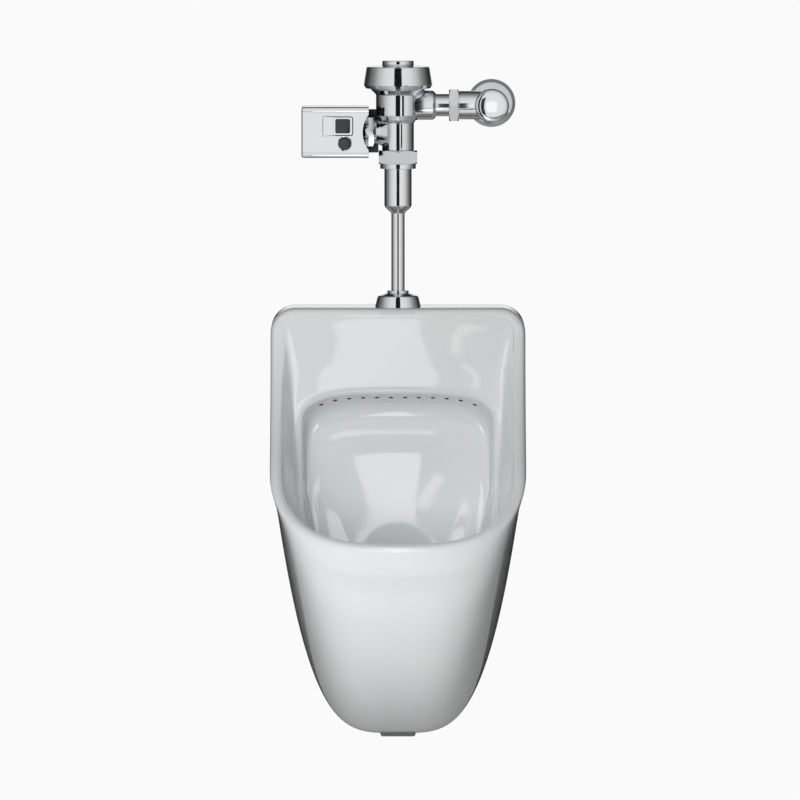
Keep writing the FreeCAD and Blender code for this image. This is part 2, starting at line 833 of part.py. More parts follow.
def turned(name, outline, spot=ORIGIN, rotation=UPRIGHT):
    """A piece turned on a lathe: (radius, height) corners about its own upright axis, then placed."""
    body, sketch = outlined_body(name, outline, "XZ_Plane")
    turn = body.newObject("PartDesign::Revolution", name + "_turning")
    turn.Profile = sketch
    turn.ReferenceAxis = (sketch, ["V_Axis"])
    turn.Angle = 360.0
    place(body, spot, rotation)
    return body


def ring(name, inner, outer, low, high, spot=ORIGIN, rotation=UPRIGHT):
    return turned(name, [(inner, low), (outer, low), (outer, high), (inner, high)], spot, rotation)


def extruded(name, outline, length, spot=ORIGIN, rotation=UPRIGHT):
    """A flat outline padded along its own upright axis, then placed."""
    body, sketch = outlined_body(name, outline, "XY_Plane")
    pad = body.newObject("PartDesign::Pad", name + "_pad")
    pad.Profile = sketch
    bind(pad, "Length", length)
    place(body, spot, rotation)
    return body


def cylinder(name, radius, length, spot=ORIGIN, rotation=UPRIGHT):
    item = doc.addObject("Part::Cylinder", name)
    bind(item, "Radius", radius)
    bind(item, "Height", length)
    place(item, spot, rotation)
    return item


def box(name, across, out, up, spot=ORIGIN):
    """A box given by its left, wall-side and lower corner and its three lengths."""
    item = doc.addObject("Part::Box", name)
    bind(item, "Length", across)
    bind(item, "Width", out)
    bind(item, "Height", up)
    place(item, shifted(spot, out=out))
    return item


def joined(name, *items):
    whole = doc.addObject("Part::MultiFuse", name)
    whole.Shapes = list(items)
    whole.Refine = True
    return whole


def cut(name, base, *tools):
    item = doc.addObject("Part::Cut", name)
    item.Base = base
    item.Tool = tools[0] if len(tools) == 1 else joined(name + "_tools", *tools)
    item.Refine = True
    return item


def group(name, *items):
    whole = doc.addObject("Part::Compound", name)
    whole.Links = list(items)
    return whole


def hexagon(name, flats, outline, low, height, spot, rotation):
    """A hexagon nut: a turned and bored blank cut to six flats, one corner to the front."""
    facing = rotation.multiply(QUARTER_FACET)
    prism = doc.addObject("Part::Prism", name + "_flats")
    prism.Polygon = 6
    bind(prism, "Circumradius", f"({flats}) / {FLATS_TO_CORNER}")
    bind(prism, "Height", height)
    along = rotation.multVec(Vector(0, 0, 1))
    lift = [f"({part}) * ({low})" for part in (round(along.x), round(along.y), round(along.z))]
    place(prism, tuple(f"{base} + {step}" for base, step in zip(spot, lift)), facing)
    blank = turned(name + "_blank", outline, spot, rotation)
    item = doc.addObject("Part::Common", name)
    item.Base = prism
    item.Tool = blank
    return item


def rounded_bar(name, length, depth, height, corner, spot):
    """A bar along X with four rounded long edges, centred on its axis, its left end at the spot."""
    pieces = [
        box(name + "_tall", length, f"{depth} - 2 * ({corner})", height,
            shifted(spot, out=f"({corner}) - ({depth}) / 2", up=f"-({height}) / 2")),
        box(name + "_deep", length, depth, f"{height} - 2 * ({corner})",
            shifted(spot, out=f"-({depth}) / 2", up=f"({corner}) - ({height}) / 2")),
    ]
    for out in (-1, 1):
        for up in (-1, 1):
            spot_of_edge = shifted(
                spot, out=f"{out} * (({depth}) / 2 - ({corner}))",
                up=f"{up} * (({height}) / 2 - ({corner}))")
            pieces.append(cylinder(f"{name}_edge_{len(pieces)}", corner, length, spot_of_edge, TO_RIGHT))
    return joined(name, *pieces)


def finish(item, name):
    item.Label = name
    finished.append(item)
    return item


# Wall hangers: two bent steel plates that the china hooks over

hangers = []
for side in (-1, 1):
    name = "left_hanger" if side < 0 else "right_hanger"
    spot = (f"{side} * hanger_spacing / 2 - hanger_width / 2", "0", "china_top - hanger_drop")
    profile = [
        ("0", "-hanger_height"), ("0", "-2 * hanger_plate"),
        ("hanger_plate - hanger_hook", "-2 * hanger_plate"),
        ("hanger_plate - hanger_hook", "0"), ("-hanger_hook", "0"), ("-hanger_hook", "-3 * hanger_plate"),
        ("-hanger_plate", "-3 * hanger_plate"), ("-hanger_plate", "-hanger_height"),
    ]
    along = FreeCAD.Rotation(Vector(0, 1, 0), Vector(0, 0, 1), Vector(1, 0, 0), "ZXY")
    plate = extruded(name + "_plate", profile, "hanger_width", spot, along)
    holes = []
    for row in (-1, 1):
        hole_spot = shifted(
            spot, "hanger_width / 2", "-1",
            f"{row} * hanger_screw_pitch / 2 - (hanger_height + 3 * hanger_plate) / 2")
        holes.append(cylinder(f"{name}_hole_{len(holes)}", "hanger_screw_radius", "hanger_plate + 2",
            hole_spot, OUT_FROM_WALL))
    hangers.append(cut(name, plate, *holes))
finish(group("wall_hangers", *hangers), "wall_hangers")


# Waste outlet: flange, rubber gasket and two bolts with nuts

bolt_spots = [("-outlet_bolt_offset", "0", "-outlet_bolt_offset"),
    ("outlet_bolt_offset", "0", "-outlet_bolt_offset")]
outlet_seat = "outlet_flange_thickness + outlet_gasket_thickness"
gasket_ring = ring("gasket_ring", "outlet_bore_radius + 2", "outlet_flange_radius",
    "outlet_flange_thickness", outlet_seat,
                   ORIGIN, OUT_FROM_WALL)
flange_ring = ring("flange_ring", "outlet_bore_radius", "outlet_flange_radius", "0",
    "outlet_flange_thickness",
                   ORIGIN, OUT_FROM_WALL)
for name, base in (("outlet_gasket", gasket_ring), ("outlet_flange", flange_ring)):
    holes = [
        cylinder(f"{name}_hole_{i}", "outlet_bolt_radius + slip", "1 + " + outlet_seat, spot, OUT_FROM_WALL)
        for i, spot in enumerate(bolt_spots)
    ]
    finish(cut(name, base, *holes), name)
bolt_end = outlet_seat + " + outlet_boss_thickness + outlet_nut_thickness + 2"
bolts = [
    cylinder(f"outlet_bolt_{i}", "outlet_bolt_radius", bolt_end, spot, OUT_FROM_WALL)
    for i, spot in enumerate(bolt_spots)
]
finish(group("outlet_bolts", *bolts), "outlet_bolts")
nut_low = outlet_seat + " + outlet_boss_thickness"
nut_high = nut_low + " + outlet_nut_thickness"
nuts = []
for i, spot in enumerate(bolt_spots):
    blank = [
        ("outlet_bolt_radius + slip", nut_low), ("outlet_nut_flats", nut_low),
        ("outlet_nut_flats", nut_high), ("outlet_bolt_radius + slip", nut_high),
    ]
    nuts.append(hexagon(f"outlet_nut_{i}", "outlet_nut_flats", blank, nut_low, "outlet_nut_thickness", spot,
        OUT_FROM_WALL))
finish(group("outlet_nuts", *nuts), "outlet_nuts")


# Drain strainer: a drilled disc in the sump, held by one screw

DRAIN_CENTRE = ("0", "-drain_reach", "sump_height - drain_recess_depth")
disc = ring("strainer_disc", "strainer_screw_radius + slip", "strainer_radius", "0", "strainer_thickness",
    DRAIN_CENTRE)
bars = []
count = int(size("strainer_hole_count"))
for i in range(count):
    turn = 2.0 * math.pi * i / count
    spot = shifted(
        DRAIN_CENTRE, f"{math.cos(turn):.6f} * strainer_hole_circle",
        f"{math.sin(turn):.6f} * strainer_hole_circle", "-1")
    bars.append(cylinder(f"strainer_hole_{i}", "strainer_hole_radius", "strainer_thickness + 2", spot))
finish(cut("drain_strainer", disc, *bars), "drain_strainer")
finish(turned("strainer_screw", [
    ("0", "-4 * strainer_screw_radius"), ("strainer_screw_radius", "-4 * strainer_screw_radius"),
    ("strainer_screw_radius", "strainer_thickness"), ("2 * strainer_screw_radius", "strainer_thickness"),
    ("1.4 * strainer_screw_radius", "strainer_thickness + 0.8 * strainer_screw_radius"),
    ("0", "strainer_thickness + strainer_screw_radius"),
], DRAIN_CENTRE), "strainer_screw")


# Spud: brass nipple through the china's top, with its gasket, nut and chromed cone

spud_bore = "tube_radius + clearance"
spud_hang = "china_wall + spud_gasket_thickness"
finish(turned("inlet_spud", [
    (spud_bore, f"-({spud_hang}) - spud_flange_thickness"),
    ("spud_flange_radius", f"-({spud_hang}) - spud_flange_thickness"),
    ("spud_flange_radius", f"-({spud_hang})"), ("spud_radius", f"-({spud_hang})"),
    ("spud_radius", "spud_rise"), (spud_bore, "spud_rise"),
], SPUD_CENTRE), "inlet_spud")
finish(ring("spud_gasket", "spud_radius + slip", "spud_flange_radius", f"-({spud_hang})", "-china_wall",
    SPUD_CENTRE), "spud_gasket")
finish(ring("spud_slip_gasket", "tube_radius + slip", "spud_radius", "spud_rise",
    "spud_rise + slip_gasket_thickness",
            SPUD_CENTRE), "spud_slip_gasket")
lip_low = "spud_rise + slip_gasket_thickness"
finish(hexagon("spud_coupling_nut", "spud_nut_flats", [
    ("spud_radius + slip", "0"), ("spud_nut_flats * nut_corner_share", "0"),
    ("spud_nut_flats * nut_corner_share", "nut_chamfer"),
    ("spud_nut_flats * nut_corner_share", "spud_nut_height - nut_chamfer"),
    ("spud_nut_flats * nut_face_share", "spud_nut_height"),
    ("tube_radius + slip", "spud_nut_height"), ("tube_radius + slip", lip_low),
    ("spud_radius + slip", lip_low),
], "0", "spud_nut_height", SPUD_CENTRE, UPRIGHT), "spud_coupling_nut")
finish(turned("spud_flange", [
    ("cone_foot_radius - cone_skin", "0"), ("cone_foot_radius", "0"),
    ("cone_top_radius", "cone_height - cone_skin"),
    ("cone_top_radius - cone_skin", "cone_height"), ("collar_radius", "cone_height"),
    ("collar_radius", "cone_height + collar_height"), ("tube_radius + slip", "cone_height + collar_height"),
    ("tube_radius + slip", "cone_height - cone_skin + clearance"),
    ("cone_top_radius - 2 * cone_skin", "cone_height - cone_skin + clearance"),
], SPUD_CENTRE), "spud_flange")


# Flush tube: one drawn brass tube, wide at the top for the vacuum breaker

nipple_foot = "-barrel_drop - outlet_coupling_height - outlet_skirt_height + outlet_shelf"
breaker_top = f"{nipple_foot} + tube_flange_thickness"
breaker_foot = f"{breaker_top} - breaker_length"
neck_foot = f"{breaker_foot} - neck_length"
tube_foot = "-supply_rise - tube_insert"
inner_wide = "breaker_radius - tube_wall"
inner_thin = "tube_radius - tube_wall"
finish(turned("flush_tube", [
    (inner_thin, tube_foot), ("tube_radius", tube_foot), ("tube_radius", neck_foot),
    ("breaker_radius - neck_step", f"{breaker_foot} - neck_step"), ("breaker_radius", breaker_foot),
    ("breaker_radius", nipple_foot),
    ("nipple_radius", nipple_foot), ("nipple_radius", breaker_top), (inner_wide, breaker_top),
    (inner_wide, breaker_foot), (f"{inner_wide} - neck_step", f"{breaker_foot} - neck_step"),
    (inner_thin, neck_foot),
], SUPPLY_CENTRE), "flush_tube")
cage_lip = f"{breaker_top} + cage_flange"
cage_out = f"{inner_wide} - clearance"
cage_in = f"{cage_out} - cage_wall"
cage_foot = f"{breaker_top} - cage_length"
finish(turned("vacuum_breaker_cage", [
    (f"{cage_in} - cage_wall", cage_foot), (cage_out, cage_foot), (cage_out, breaker_top),
    ("nipple_radius", breaker_top),
    ("nipple_radius", cage_lip), (cage_in, cage_lip), (cage_in, f"{cage_foot} + cage_wall"),
    (f"{cage_in} - cage_wall", f"{cage_foot} + cage_wall"),
], SUPPLY_CENTRE), "vacuum_breaker_cage")
finish(ring("vacuum_breaker_sleeve", f"{cage_in} - clearance - sleeve_wall", f"{cage_in} - clearance",
            f"{cage_foot} + cage_wall", f"{breaker_top} - cage_wall", SUPPLY_CENTRE),
            "vacuum_breaker_sleeve")
nipple_end = f"{cage_lip} + outlet_slip_gasket_thickness"
finish(ring("outlet_slip_gasket", "waterway_radius", "nipple_radius", cage_lip, nipple_end, SUPPLY_CENTRE),
       "outlet_slip_gasket")


# Outlet coupling nut: hexagon above, round skirt below, drawing the tube up to the valve

nut_low = "-barrel_drop - outlet_coupling_height"
skirt_low = f"{nut_low} - outlet_skirt_height"
hexagon_part = hexagon("outlet_nut_hexagon", "outlet_coupling_flats", [
    ("nipple_radius + slip", nut_low), ("outlet_coupling_flats * nut_face_share", nut_low),
    ("outlet_coupling_flats * nut_corner_share", f"{nut_low} + outlet_nut_chamfer"),
    ("outlet_coupling_flats * nut_corner_share", "-barrel_drop - outlet_nut_chamfer"),
    ("outlet_coupling_flats * nut_face_share", "-barrel_drop"), ("nipple_radius + slip", "-barrel_drop"),
], nut_low, "outlet_coupling_height", SUPPLY_CENTRE, UPRIGHT)
skirt = turned("outlet_nut_skirt", [
    ("breaker_radius + slip", skirt_low), ("outlet_skirt_radius", skirt_low),
    ("outlet_skirt_radius", nut_low),
    ("nipple_radius + slip", nut_low), ("nipple_radius + slip", nipple_foot),
    ("breaker_radius + slip", nipple_foot),
], SUPPLY_CENTRE)
finish(joined("outlet_coupling_nut", hexagon_part, skirt), "outlet_coupling_nut")


# Valve body: cast bowl and barrel with the inlet boss to the right and the handle boss to the left

valve_outside = turned("valve_outside", [
    ("0", nipple_end), ("nipple_radius", nipple_end), ("nipple_radius", "-barrel_drop"),
    ("barrel_radius", "-barrel_drop"),
    ("barrel_radius", "-bowl_drop - bowl_foot_height"), ("barrel_radius + bowl_foot_width", "-bowl_drop"),
    ("bowl_radius - bowl_round * 0.5", "-bowl_drop"),
    ("bowl_radius - bowl_round * 0.15", "-bowl_drop + bowl_round * 0.4"),
    ("bowl_radius", "-bowl_drop + bowl_round"),
    ("bowl_radius", "bowl_rise"), ("body_neck_radius", "bowl_rise + body_flare"),
    ("body_neck_radius", "body_top"),
    ("0", "body_top"),
], SUPPLY_CENTRE)
inlet_boss = turned("inlet_boss", [
    ("0", "0"), ("inlet_boss_radius", "0"), ("inlet_boss_radius", "inlet_boss_reach - inlet_boss_chamfer"),
    ("inlet_boss_radius - inlet_boss_chamfer", "inlet_boss_reach"), ("0", "inlet_boss_reach"),
], SUPPLY_CENTRE, TO_RIGHT)
handle_boss = cylinder("handle_boss", "handle_boss_radius", "handle_boss_reach", PLUNGER_CENTRE, TO_LEFT)
valve_solid = joined("valve_solid", valve_outside, inlet_boss, handle_boss)
seat_radius = "waterway_radius + seat_wall"
chamber = ring("inlet_chamber", seat_radius, "chamber_radius", "-chamber_drop", "body_top + 1",
    SUPPLY_CENTRE)
seat_top = "body_top - main_seat_height - clearance"
seat_room = ring("seat_room", "0", f"{seat_radius} + 1", seat_top, "body_top + 1", SUPPLY_CENTRE)
waterway = cylinder("waterway", "waterway_radius", f"body_top + 1 - ({nipple_end}) + 1",
                    shifted(SUPPLY_CENTRE, up=f"{nipple_end} - 1"))
inlet_bore = cylinder("inlet_bore", "inlet_bore_radius", "inlet_boss_reach - chamber_radius + 4",
                      shifted(SUPPLY_CENTRE, "chamber_radius - 4"), TO_RIGHT)
tail_socket = cylinder("tail_socket", "tailpiece_radius + slip", "tailpiece_socket + 1",
                       shifted(SUPPLY_CENTRE, "inlet_boss_reach - tailpiece_socket"), TO_RIGHT)
bushing_bore = cylinder("bushing_bore", "bushing_radius + slip", "handle_boss_reach + 1", PLUNGER_CENTRE,
    TO_LEFT)
finish(cut("valve_body", valve_solid, chamber, seat_room, waterway, inlet_bore, tail_socket, bushing_bore),
    "valve_body")
finish(ring("main_seat", "waterway_radius - 1", seat_radius, seat_top, "body_top - clearance",
    SUPPLY_CENTRE), "main_seat")


# Under the cap: diaphragm with its guide, relief valve and inside cover

cover_foot = "body_top + diaphragm_thickness"
finish(ring("diaphragm", "guide_radius + clearance", "diaphragm_radius", "body_top", cover_foot,
    SUPPLY_CENTRE), "diaphragm")
guide_flange = f"{cover_foot} + clearance"
guide_top = f"{guide_flange} + guide_flange_thickness"
finish(turned("diaphragm_guide", [
    ("guide_radius - guide_wall", f"{guide_flange} - guide_length"),
    ("guide_radius", f"{guide_flange} - guide_length"),
    ("guide_radius", guide_flange), ("guide_flange_radius", guide_flange),
    ("guide_flange_radius", guide_top),
    ("guide_radius - guide_wall", guide_top),
], SUPPLY_CENTRE), "diaphragm_guide")
relief_foot = f"{guide_top} + clearance"
finish(turned("relief_valve", [
    ("0", "-plunger_drop - relief_stem_overrun"),
    ("relief_stem_radius", "-plunger_drop - relief_stem_overrun"),
    ("relief_stem_radius", relief_foot), ("relief_disc_radius", relief_foot),
    ("relief_disc_radius", f"{relief_foot} + relief_disc_thickness"),
    ("0", f"{relief_foot} + relief_disc_thickness"),
], SUPPLY_CENTRE), "relief_valve")
ring_top = f"{cover_foot} + inside_cover_ring"
cover_wall_out = "cap_press_radius - clearance"
cover_roof = "cap_shoulder_rise - cap_wall - clearance"
turret_out = "inside_cover_turret_radius + inside_cover_wall"
turret_roof = "cap_top_rise - cap_wall - clearance"
finish(turned("inside_cover", [
    (f"{cover_wall_out} - inside_cover_wall", cover_foot), ("diaphragm_radius", cover_foot),
    ("diaphragm_radius", ring_top),
    (cover_wall_out, ring_top), (cover_wall_out, cover_roof), (turret_out, cover_roof),
    (turret_out, turret_roof),
    ("0", turret_roof), ("0", f"{turret_roof} - inside_cover_wall"),
    ("inside_cover_turret_radius", f"{turret_roof} - inside_cover_wall"),
    ("inside_cover_turret_radius", f"{cover_roof} - inside_cover_wall"),
    (f"{cover_wall_out} - inside_cover_wall", f"{cover_roof} - inside_cover_wall"),
], SUPPLY_CENTRE), "inside_cover")
finish(turned("outside_cover", [
    ("body_neck_radius + slip", "cap_foot_rise"), ("cap_widest_radius - 3", "cap_foot_rise"),
    ("cap_widest_radius", "cap_widest_rise"), ("cap_shoulder_radius", "cap_shoulder_rise"),
    ("cap_shoulder_radius - 2", "cap_shoulder_rise + 1"), ("cap_hat_radius + 1", "cap_hat_rise"),
    ("cap_hat_radius", "cap_hat_rise + 1"), ("cap_hat_radius", "cap_top_rise - 1"),
    ("cap_hat_radius - 1", "cap_top_rise"), ("0", "cap_top_rise"), ("0", "cap_top_rise - cap_wall"),
    ("cap_hat_radius - cap_wall * 0.8", "cap_top_rise - cap_wall"),
    ("cap_hat_radius - cap_wall * 0.8", "cap_shoulder_rise - cap_wall"),
    ("cap_press_radius", "cap_shoulder_rise - cap_wall"), ("cap_press_radius", ring_top),
    ("body_neck_radius + slip", ring_top),
], SUPPLY_CENTRE), "outside_cover")


# Inlet: tailpiece slid into the stop, sealed by a ring and held by its nut

tail_start = "inlet_boss_reach - tailpiece_socket + clearance"
tail_end = f"{tail_start} + tailpiece_length"
finish(ring("tailpiece", "tailpiece_bore_radius", "tailpiece_radius", tail_start, tail_end, SUPPLY_CENTRE,
    TO_RIGHT), "tailpiece")
tail_nut_end = "tailpiece_nut_start + tailpiece_nut_length"
tail_lip = "tailpiece_nut_start + tailpiece_nut_lip"
finish(hexagon("tailpiece_nut", "tailpiece_nut_flats", [
    ("tailpiece_radius + slip", "tailpiece_nut_start"),
    ("tailpiece_nut_flats * nut_face_share", "tailpiece_nut_start"),
    ("tailpiece_nut_flats * nut_corner_share", "tailpiece_nut_start + nut_chamfer"),
    ("tailpiece_nut_flats * nut_corner_share", f"{tail_nut_end} - nut_chamfer"),
    ("tailpiece_nut_flats * nut_face_share", tail_nut_end), ("stop_thread_radius + slip", tail_nut_end),
    ("stop_thread_radius + slip", tail_lip), ("tailpiece_radius + slip", tail_lip),
], "tailpiece_nut_start", "tailpiece_nut_length", SUPPLY_CENTRE, TO_RIGHT), "tailpiece_nut")
thread_start = f"{tail_lip} + lock_ring_thickness"
finish(ring("tailpiece_lock_ring", "tailpiece_radius + slip", "stop_thread_radius - slip", tail_lip,
    thread_start,
            SUPPLY_CENTRE, TO_RIGHT), "tailpiece_lock_ring")
packing_end = f"{thread_start} + o_ring_section"
finish(ring("tailpiece_o_ring", "tailpiece_radius + slip", "tailpiece_radius + slip + o_ring_section * 0.7",
    thread_start,
            packing_end, SUPPLY_CENTRE, TO_RIGHT), "tailpiece_o_ring")


# Control stop: an angle body at the wall, closed by a piston that its screw moves

stop_outside = turned("stop_outside", [
    ("0", "stop_back_reach"), ("sleeve_radius + stop_foot_lip", "stop_back_reach"),
    ("stop_radius", "stop_back_reach + stop_foot_length"),
    ("stop_radius", "stop_front_reach"), ("0", "stop_front_reach"),
], STOP_CENTRE, OUT_FROM_WALL)
stop_side = turned("stop_side", [
    ("0", thread_start), ("stop_thread_radius", thread_start), ("stop_thread_radius", "stop_tube_start"),
    ("stop_tube_radius", "stop_tube_start"), ("stop_tube_radius", "stop_offset"), ("0", "stop_offset"),
], SUPPLY_CENTRE, TO_RIGHT)
bonnet_bore_low = "stop_front_reach - bonnet_thread_length"
packing_room = cylinder("packing_room", "tailpiece_radius + 2 * slip + o_ring_section * 0.7",
    "o_ring_section + 1",
                        shifted(SUPPLY_CENTRE, f"{thread_start} - 1"), TO_RIGHT)
slide_bore = cylinder("slide_bore", "tailpiece_radius + slip", f"{tail_end} + clearance - ({thread_start})",
                      shifted(SUPPLY_CENTRE, thread_start), TO_RIGHT)
side_port = cylinder("side_port", "stop_seat_radius", "stop_offset - stop_seat_radius - stop_tube_start",
                     shifted(SUPPLY_CENTRE, "stop_tube_start"), TO_RIGHT)
supply_socket = ring("supply_socket", "0", "supply_tube_radius", "stop_back_reach - 1",
                     "stop_back_reach + supply_socket_depth", STOP_CENTRE, OUT_FROM_WALL)
stop_waterway = ring("stop_waterway", "0", "stop_seat_radius", "stop_back_reach", "stop_seat_reach + 1",
                     STOP_CENTRE, OUT_FROM_WALL)
stop_chamber = ring("stop_chamber", "0", "stop_chamber_radius", "stop_seat_reach", "stop_front_reach",
                    STOP_CENTRE, OUT_FROM_WALL)
bonnet_thread = ring("bonnet_thread", "0", "bonnet_thread_radius + slip", bonnet_bore_low,
    "stop_front_reach + 1",
                     STOP_CENTRE, OUT_FROM_WALL)
finish(cut("stop_body", joined("stop_solid", stop_outside, stop_side), packing_room, slide_bore, side_port,
    supply_socket,
           stop_waterway, stop_chamber, bonnet_thread), "stop_body")
bonnet_seat = "stop_front_reach + bonnet_ring_thickness"
bonnet_top = f"{bonnet_seat} + bonnet_flange_thickness"
finish(ring("bonnet_o_ring", "bonnet_thread_radius + slip", "stop_radius", "stop_front_reach", bonnet_seat,
            STOP_CENTRE, OUT_FROM_WALL), "bonnet_o_ring")
pocket_top = f"{bonnet_seat} - bonnet_flange_thickness"
pocket_radius = "stop_spring_radius + clearance"
finish(turned("stop_bonnet", [
    ("stop_screw_radius + running", pocket_top), (pocket_radius, pocket_top),
    (pocket_radius, f"{bonnet_seat} - bonnet_thread_length"),
    ("bonnet_thread_radius", f"{bonnet_seat} - bonnet_thread_length"),
    ("bonnet_thread_radius", bonnet_seat),
    ("stop_radius", bonnet_seat), ("stop_radius", bonnet_top), ("stop_screw_radius + running", bonnet_top),
], STOP_CENTRE, OUT_FROM_WALL), "stop_bonnet")
piston_low = "stop_seat_reach + clearance + piston_travel"
piston_top = f"{piston_low} + piston_thickness"
piston_end = f"{piston_top} + piston_collar_length"
finish(turned("stop_piston", [
    ("0", piston_low), ("piston_radius", piston_low), ("piston_radius", piston_top),
    ("piston_collar_radius", piston_top),
    ("piston_collar_radius", piston_end), ("stop_screw_radius + running", piston_end),
    ("stop_screw_radius + running", piston_top), ("0", piston_top),
], STOP_CENTRE, OUT_FROM_WALL), "stop_piston")
finish(ring("stop_spring", "stop_spring_radius - stop_spring_wire", "stop_spring_radius", piston_top,
    pocket_top,
            STOP_CENTRE, OUT_FROM_WALL), "stop_spring")
shoulder_top = f"{pocket_top} - clearance"
shoulder_low = f"{shoulder_top} - stop_screw_shoulder"
head_low = f"{bonnet_top} + clearance"
screw_shape = turned("stop_screw_shape", [
    ("0", f"{piston_top} + clearance"), ("stop_screw_radius", f"{piston_top} + clearance"),
    ("stop_screw_radius", shoulder_low), ("stop_screw_shoulder_radius", shoulder_low),
    ("stop_screw_shoulder_radius", shoulder_top), ("stop_screw_radius", shoulder_top),
    ("stop_screw_radius", head_low),
    ("stop_screw_head_radius", head_low), ("stop_screw_head_radius", f"{head_low} + stop_screw_head"),
    ("0", f"{head_low} + stop_screw_head"),
], STOP_CENTRE, OUT_FROM_WALL)
screw_slot = box("stop_screw_slot", "3 * stop_screw_head_radius", "stop_screw_head", "screw_slot_width",
    shifted(
    STOP_CENTRE, "-1.5 * stop_screw_head_radius", f"{head_low} + stop_screw_head / 2",
    "-screw_slot_width / 2"))
finish(cut("stop_screw", screw_shape, screw_slot), "stop_screw")
DOME_SHARES = [(math.cos(math.radians(turn)), math.sin(math.radians(turn))) for turn in (18, 36, 54, 72)]
dome_rise = "(stop_cap_front_reach - stop_cap_shoulder_reach)"
dome_outside = [(f"stop_cap_radius * {wide:.5f}", f"stop_cap_shoulder_reach + {dome_rise} * {high:.5f}")
    for wide, high in DOME_SHARES]
inner_radius = "(stop_cap_radius - stop_cap_wall)"
inner_rise = f"({dome_rise} - stop_cap_wall)"
dome_inside = [(f"{inner_radius} * {wide:.5f}", f"stop_cap_shoulder_reach + {inner_rise} * {high:.5f}")
    for wide, high in DOME_SHARES]
finish(turned("stop_cap", [
    (inner_radius, "stop_cap_foot_reach"), ("stop_cap_radius", "stop_cap_foot_reach"),
    ("stop_cap_radius", "stop_cap_shoulder_reach"), *dome_outside, ("0", "stop_cap_front_reach"),
    ("0", "stop_cap_front_reach - stop_cap_wall"), *reversed(dome_inside),
    (inner_radius, "stop_cap_shoulder_reach"),
], STOP_CENTRE, OUT_FROM_WALL), "stop_cap")


# Supply at the wall: covering sleeve and wall flange pinched by a set screw

finish(ring("supply_sleeve", "sleeve_radius - supply_sleeve_wall", "sleeve_radius", "wall_flange_lip",
    "stop_back_reach",
            STOP_CENTRE, OUT_FROM_WALL), "supply_sleeve")
flange_shape = turned("wall_flange_shape", [
    ("sleeve_radius + slip", "0"), ("wall_flange_radius", "0"), ("wall_flange_radius", "wall_flange_lip"),
    ("wall_flange_neck_radius", "wall_flange_lip * 2"), ("wall_flange_neck_radius", "wall_flange_length"),
    ("sleeve_radius + slip", "wall_flange_length"),
], STOP_CENTRE, OUT_FROM_WALL)
screw_spot = shifted(STOP_CENTRE, "0", "set_screw_reach", "-wall_flange_neck_radius")
screw_hole = cylinder("set_screw_hole", "set_screw_radius + running",
    "wall_flange_neck_radius - sleeve_radius + 1",
                      shifted(screw_spot, up="-1"))
finish(cut("wall_flange", flange_shape, screw_hole), "wall_flange")
finish(cylinder("flange_set_screw", "set_screw_radius", "wall_flange_neck_radius - sleeve_radius - running",
    screw_spot),
       "flange_set_screw")


# Operator joint: nut, gasket and the bushing that guides the plunger

nut_end = "operator_nut_start + operator_nut_length"
nut_lip = f"{nut_end} - operator_nut_lip"
bushing_bore_radius = "plunger_radius + running"
gasket_end = "handle_boss_reach + handle_gasket_thickness"
base_end = "base_near + base_plate"
finish(hexagon("operator_coupling_nut", "operator_nut_flats", [
    ("handle_boss_radius + slip", "operator_nut_start"),
    ("operator_nut_flats * nut_face_share", "operator_nut_start"),
    ("operator_nut_flats * nut_corner_share", "operator_nut_start + nut_chamfer"),
    ("operator_nut_flats * nut_corner_share", f"{nut_end} - nut_chamfer"),
    ("operator_nut_flats * nut_face_share", nut_end), ("bushing_radius + clearance", nut_end),
    ("bushing_radius + clearance", nut_lip),
    ("handle_boss_radius + slip", nut_lip),
], "operator_nut_start", "operator_nut_length", PLUNGER_CENTRE, TO_LEFT), "operator_coupling_nut")
finish(ring("handle_gasket", "bushing_radius + slip", "handle_boss_radius", "handle_boss_reach", gasket_end,
            PLUNGER_CENTRE, TO_LEFT), "handle_gasket")
finish(turned("plunger_bushing", [
    (bushing_bore_radius, "bushing_start"), ("bushing_radius", "bushing_start"),
    ("bushing_radius", gasket_end),
    ("handle_boss_radius", gasket_end), ("handle_boss_radius", nut_lip), ("bushing_radius", nut_lip),
    ("bushing_radius", base_end), (bushing_bore_radius, base_end),
], PLUNGER_CENTRE, TO_LEFT), "plunger_bushing")
finish(ring("base_gasket", "bushing_radius + slip", "base_gasket_radius", nut_end, "base_near",
    PLUNGER_CENTRE, TO_LEFT), "base_gasket")


# Operator base: end plate, shelf under the works and the dark bar behind the nut

inside_depth = "(cover_depth - 2 * cover_wall - 2 * clearance)"
inside_height = "(cover_height - 2 * cover_wall - 2 * clearance)"
cover_left = "-cover_near - cover_length"
shelf_left = f"{cover_left} + cover_wall + clearance"
shelf_foot = f"-{inside_height} / 2"
shelf_top = f"{shelf_foot} + base_shelf"
gear_top = "-plunger_radius - gear_gap"
gear_foot = f"{gear_top} - gear_thickness"
base_plate = rounded_bar("base_end_plate", "base_plate", inside_depth, inside_height,
    "cover_round - cover_wall",
                         shifted(PLUNGER_CENTRE, f"-({base_end})"))
shelf = box("base_shelf_plate", f"-({base_end}) + 1 - ({shelf_left})", f"{inside_depth} - 2 * cover_round",
    "base_shelf",
            shifted(PLUNGER_CENTRE, shelf_left, f"cover_round - {inside_depth} / 2", shelf_foot))
bar = box("base_rear_bar", "base_near - base_bar_near + 1", "base_bar_depth", "2 * base_bar_half_height",
          shifted(PLUNGER_CENTRE, "-base_near - 1", f"base_bar_setback - {inside_depth} / 2",
          "-base_bar_half_height"))
cam_boss = cylinder("cam_boss", "cam_boss_radius", f"{gear_foot} - clearance - ({shelf_foot}) - 1",
                    shifted(PLUNGER_CENTRE, "-cam_offset", "0", f"{shelf_foot} + 1"))
gear_distance = "gear_module * (cam_gear_teeth + pinion_teeth) / 2"
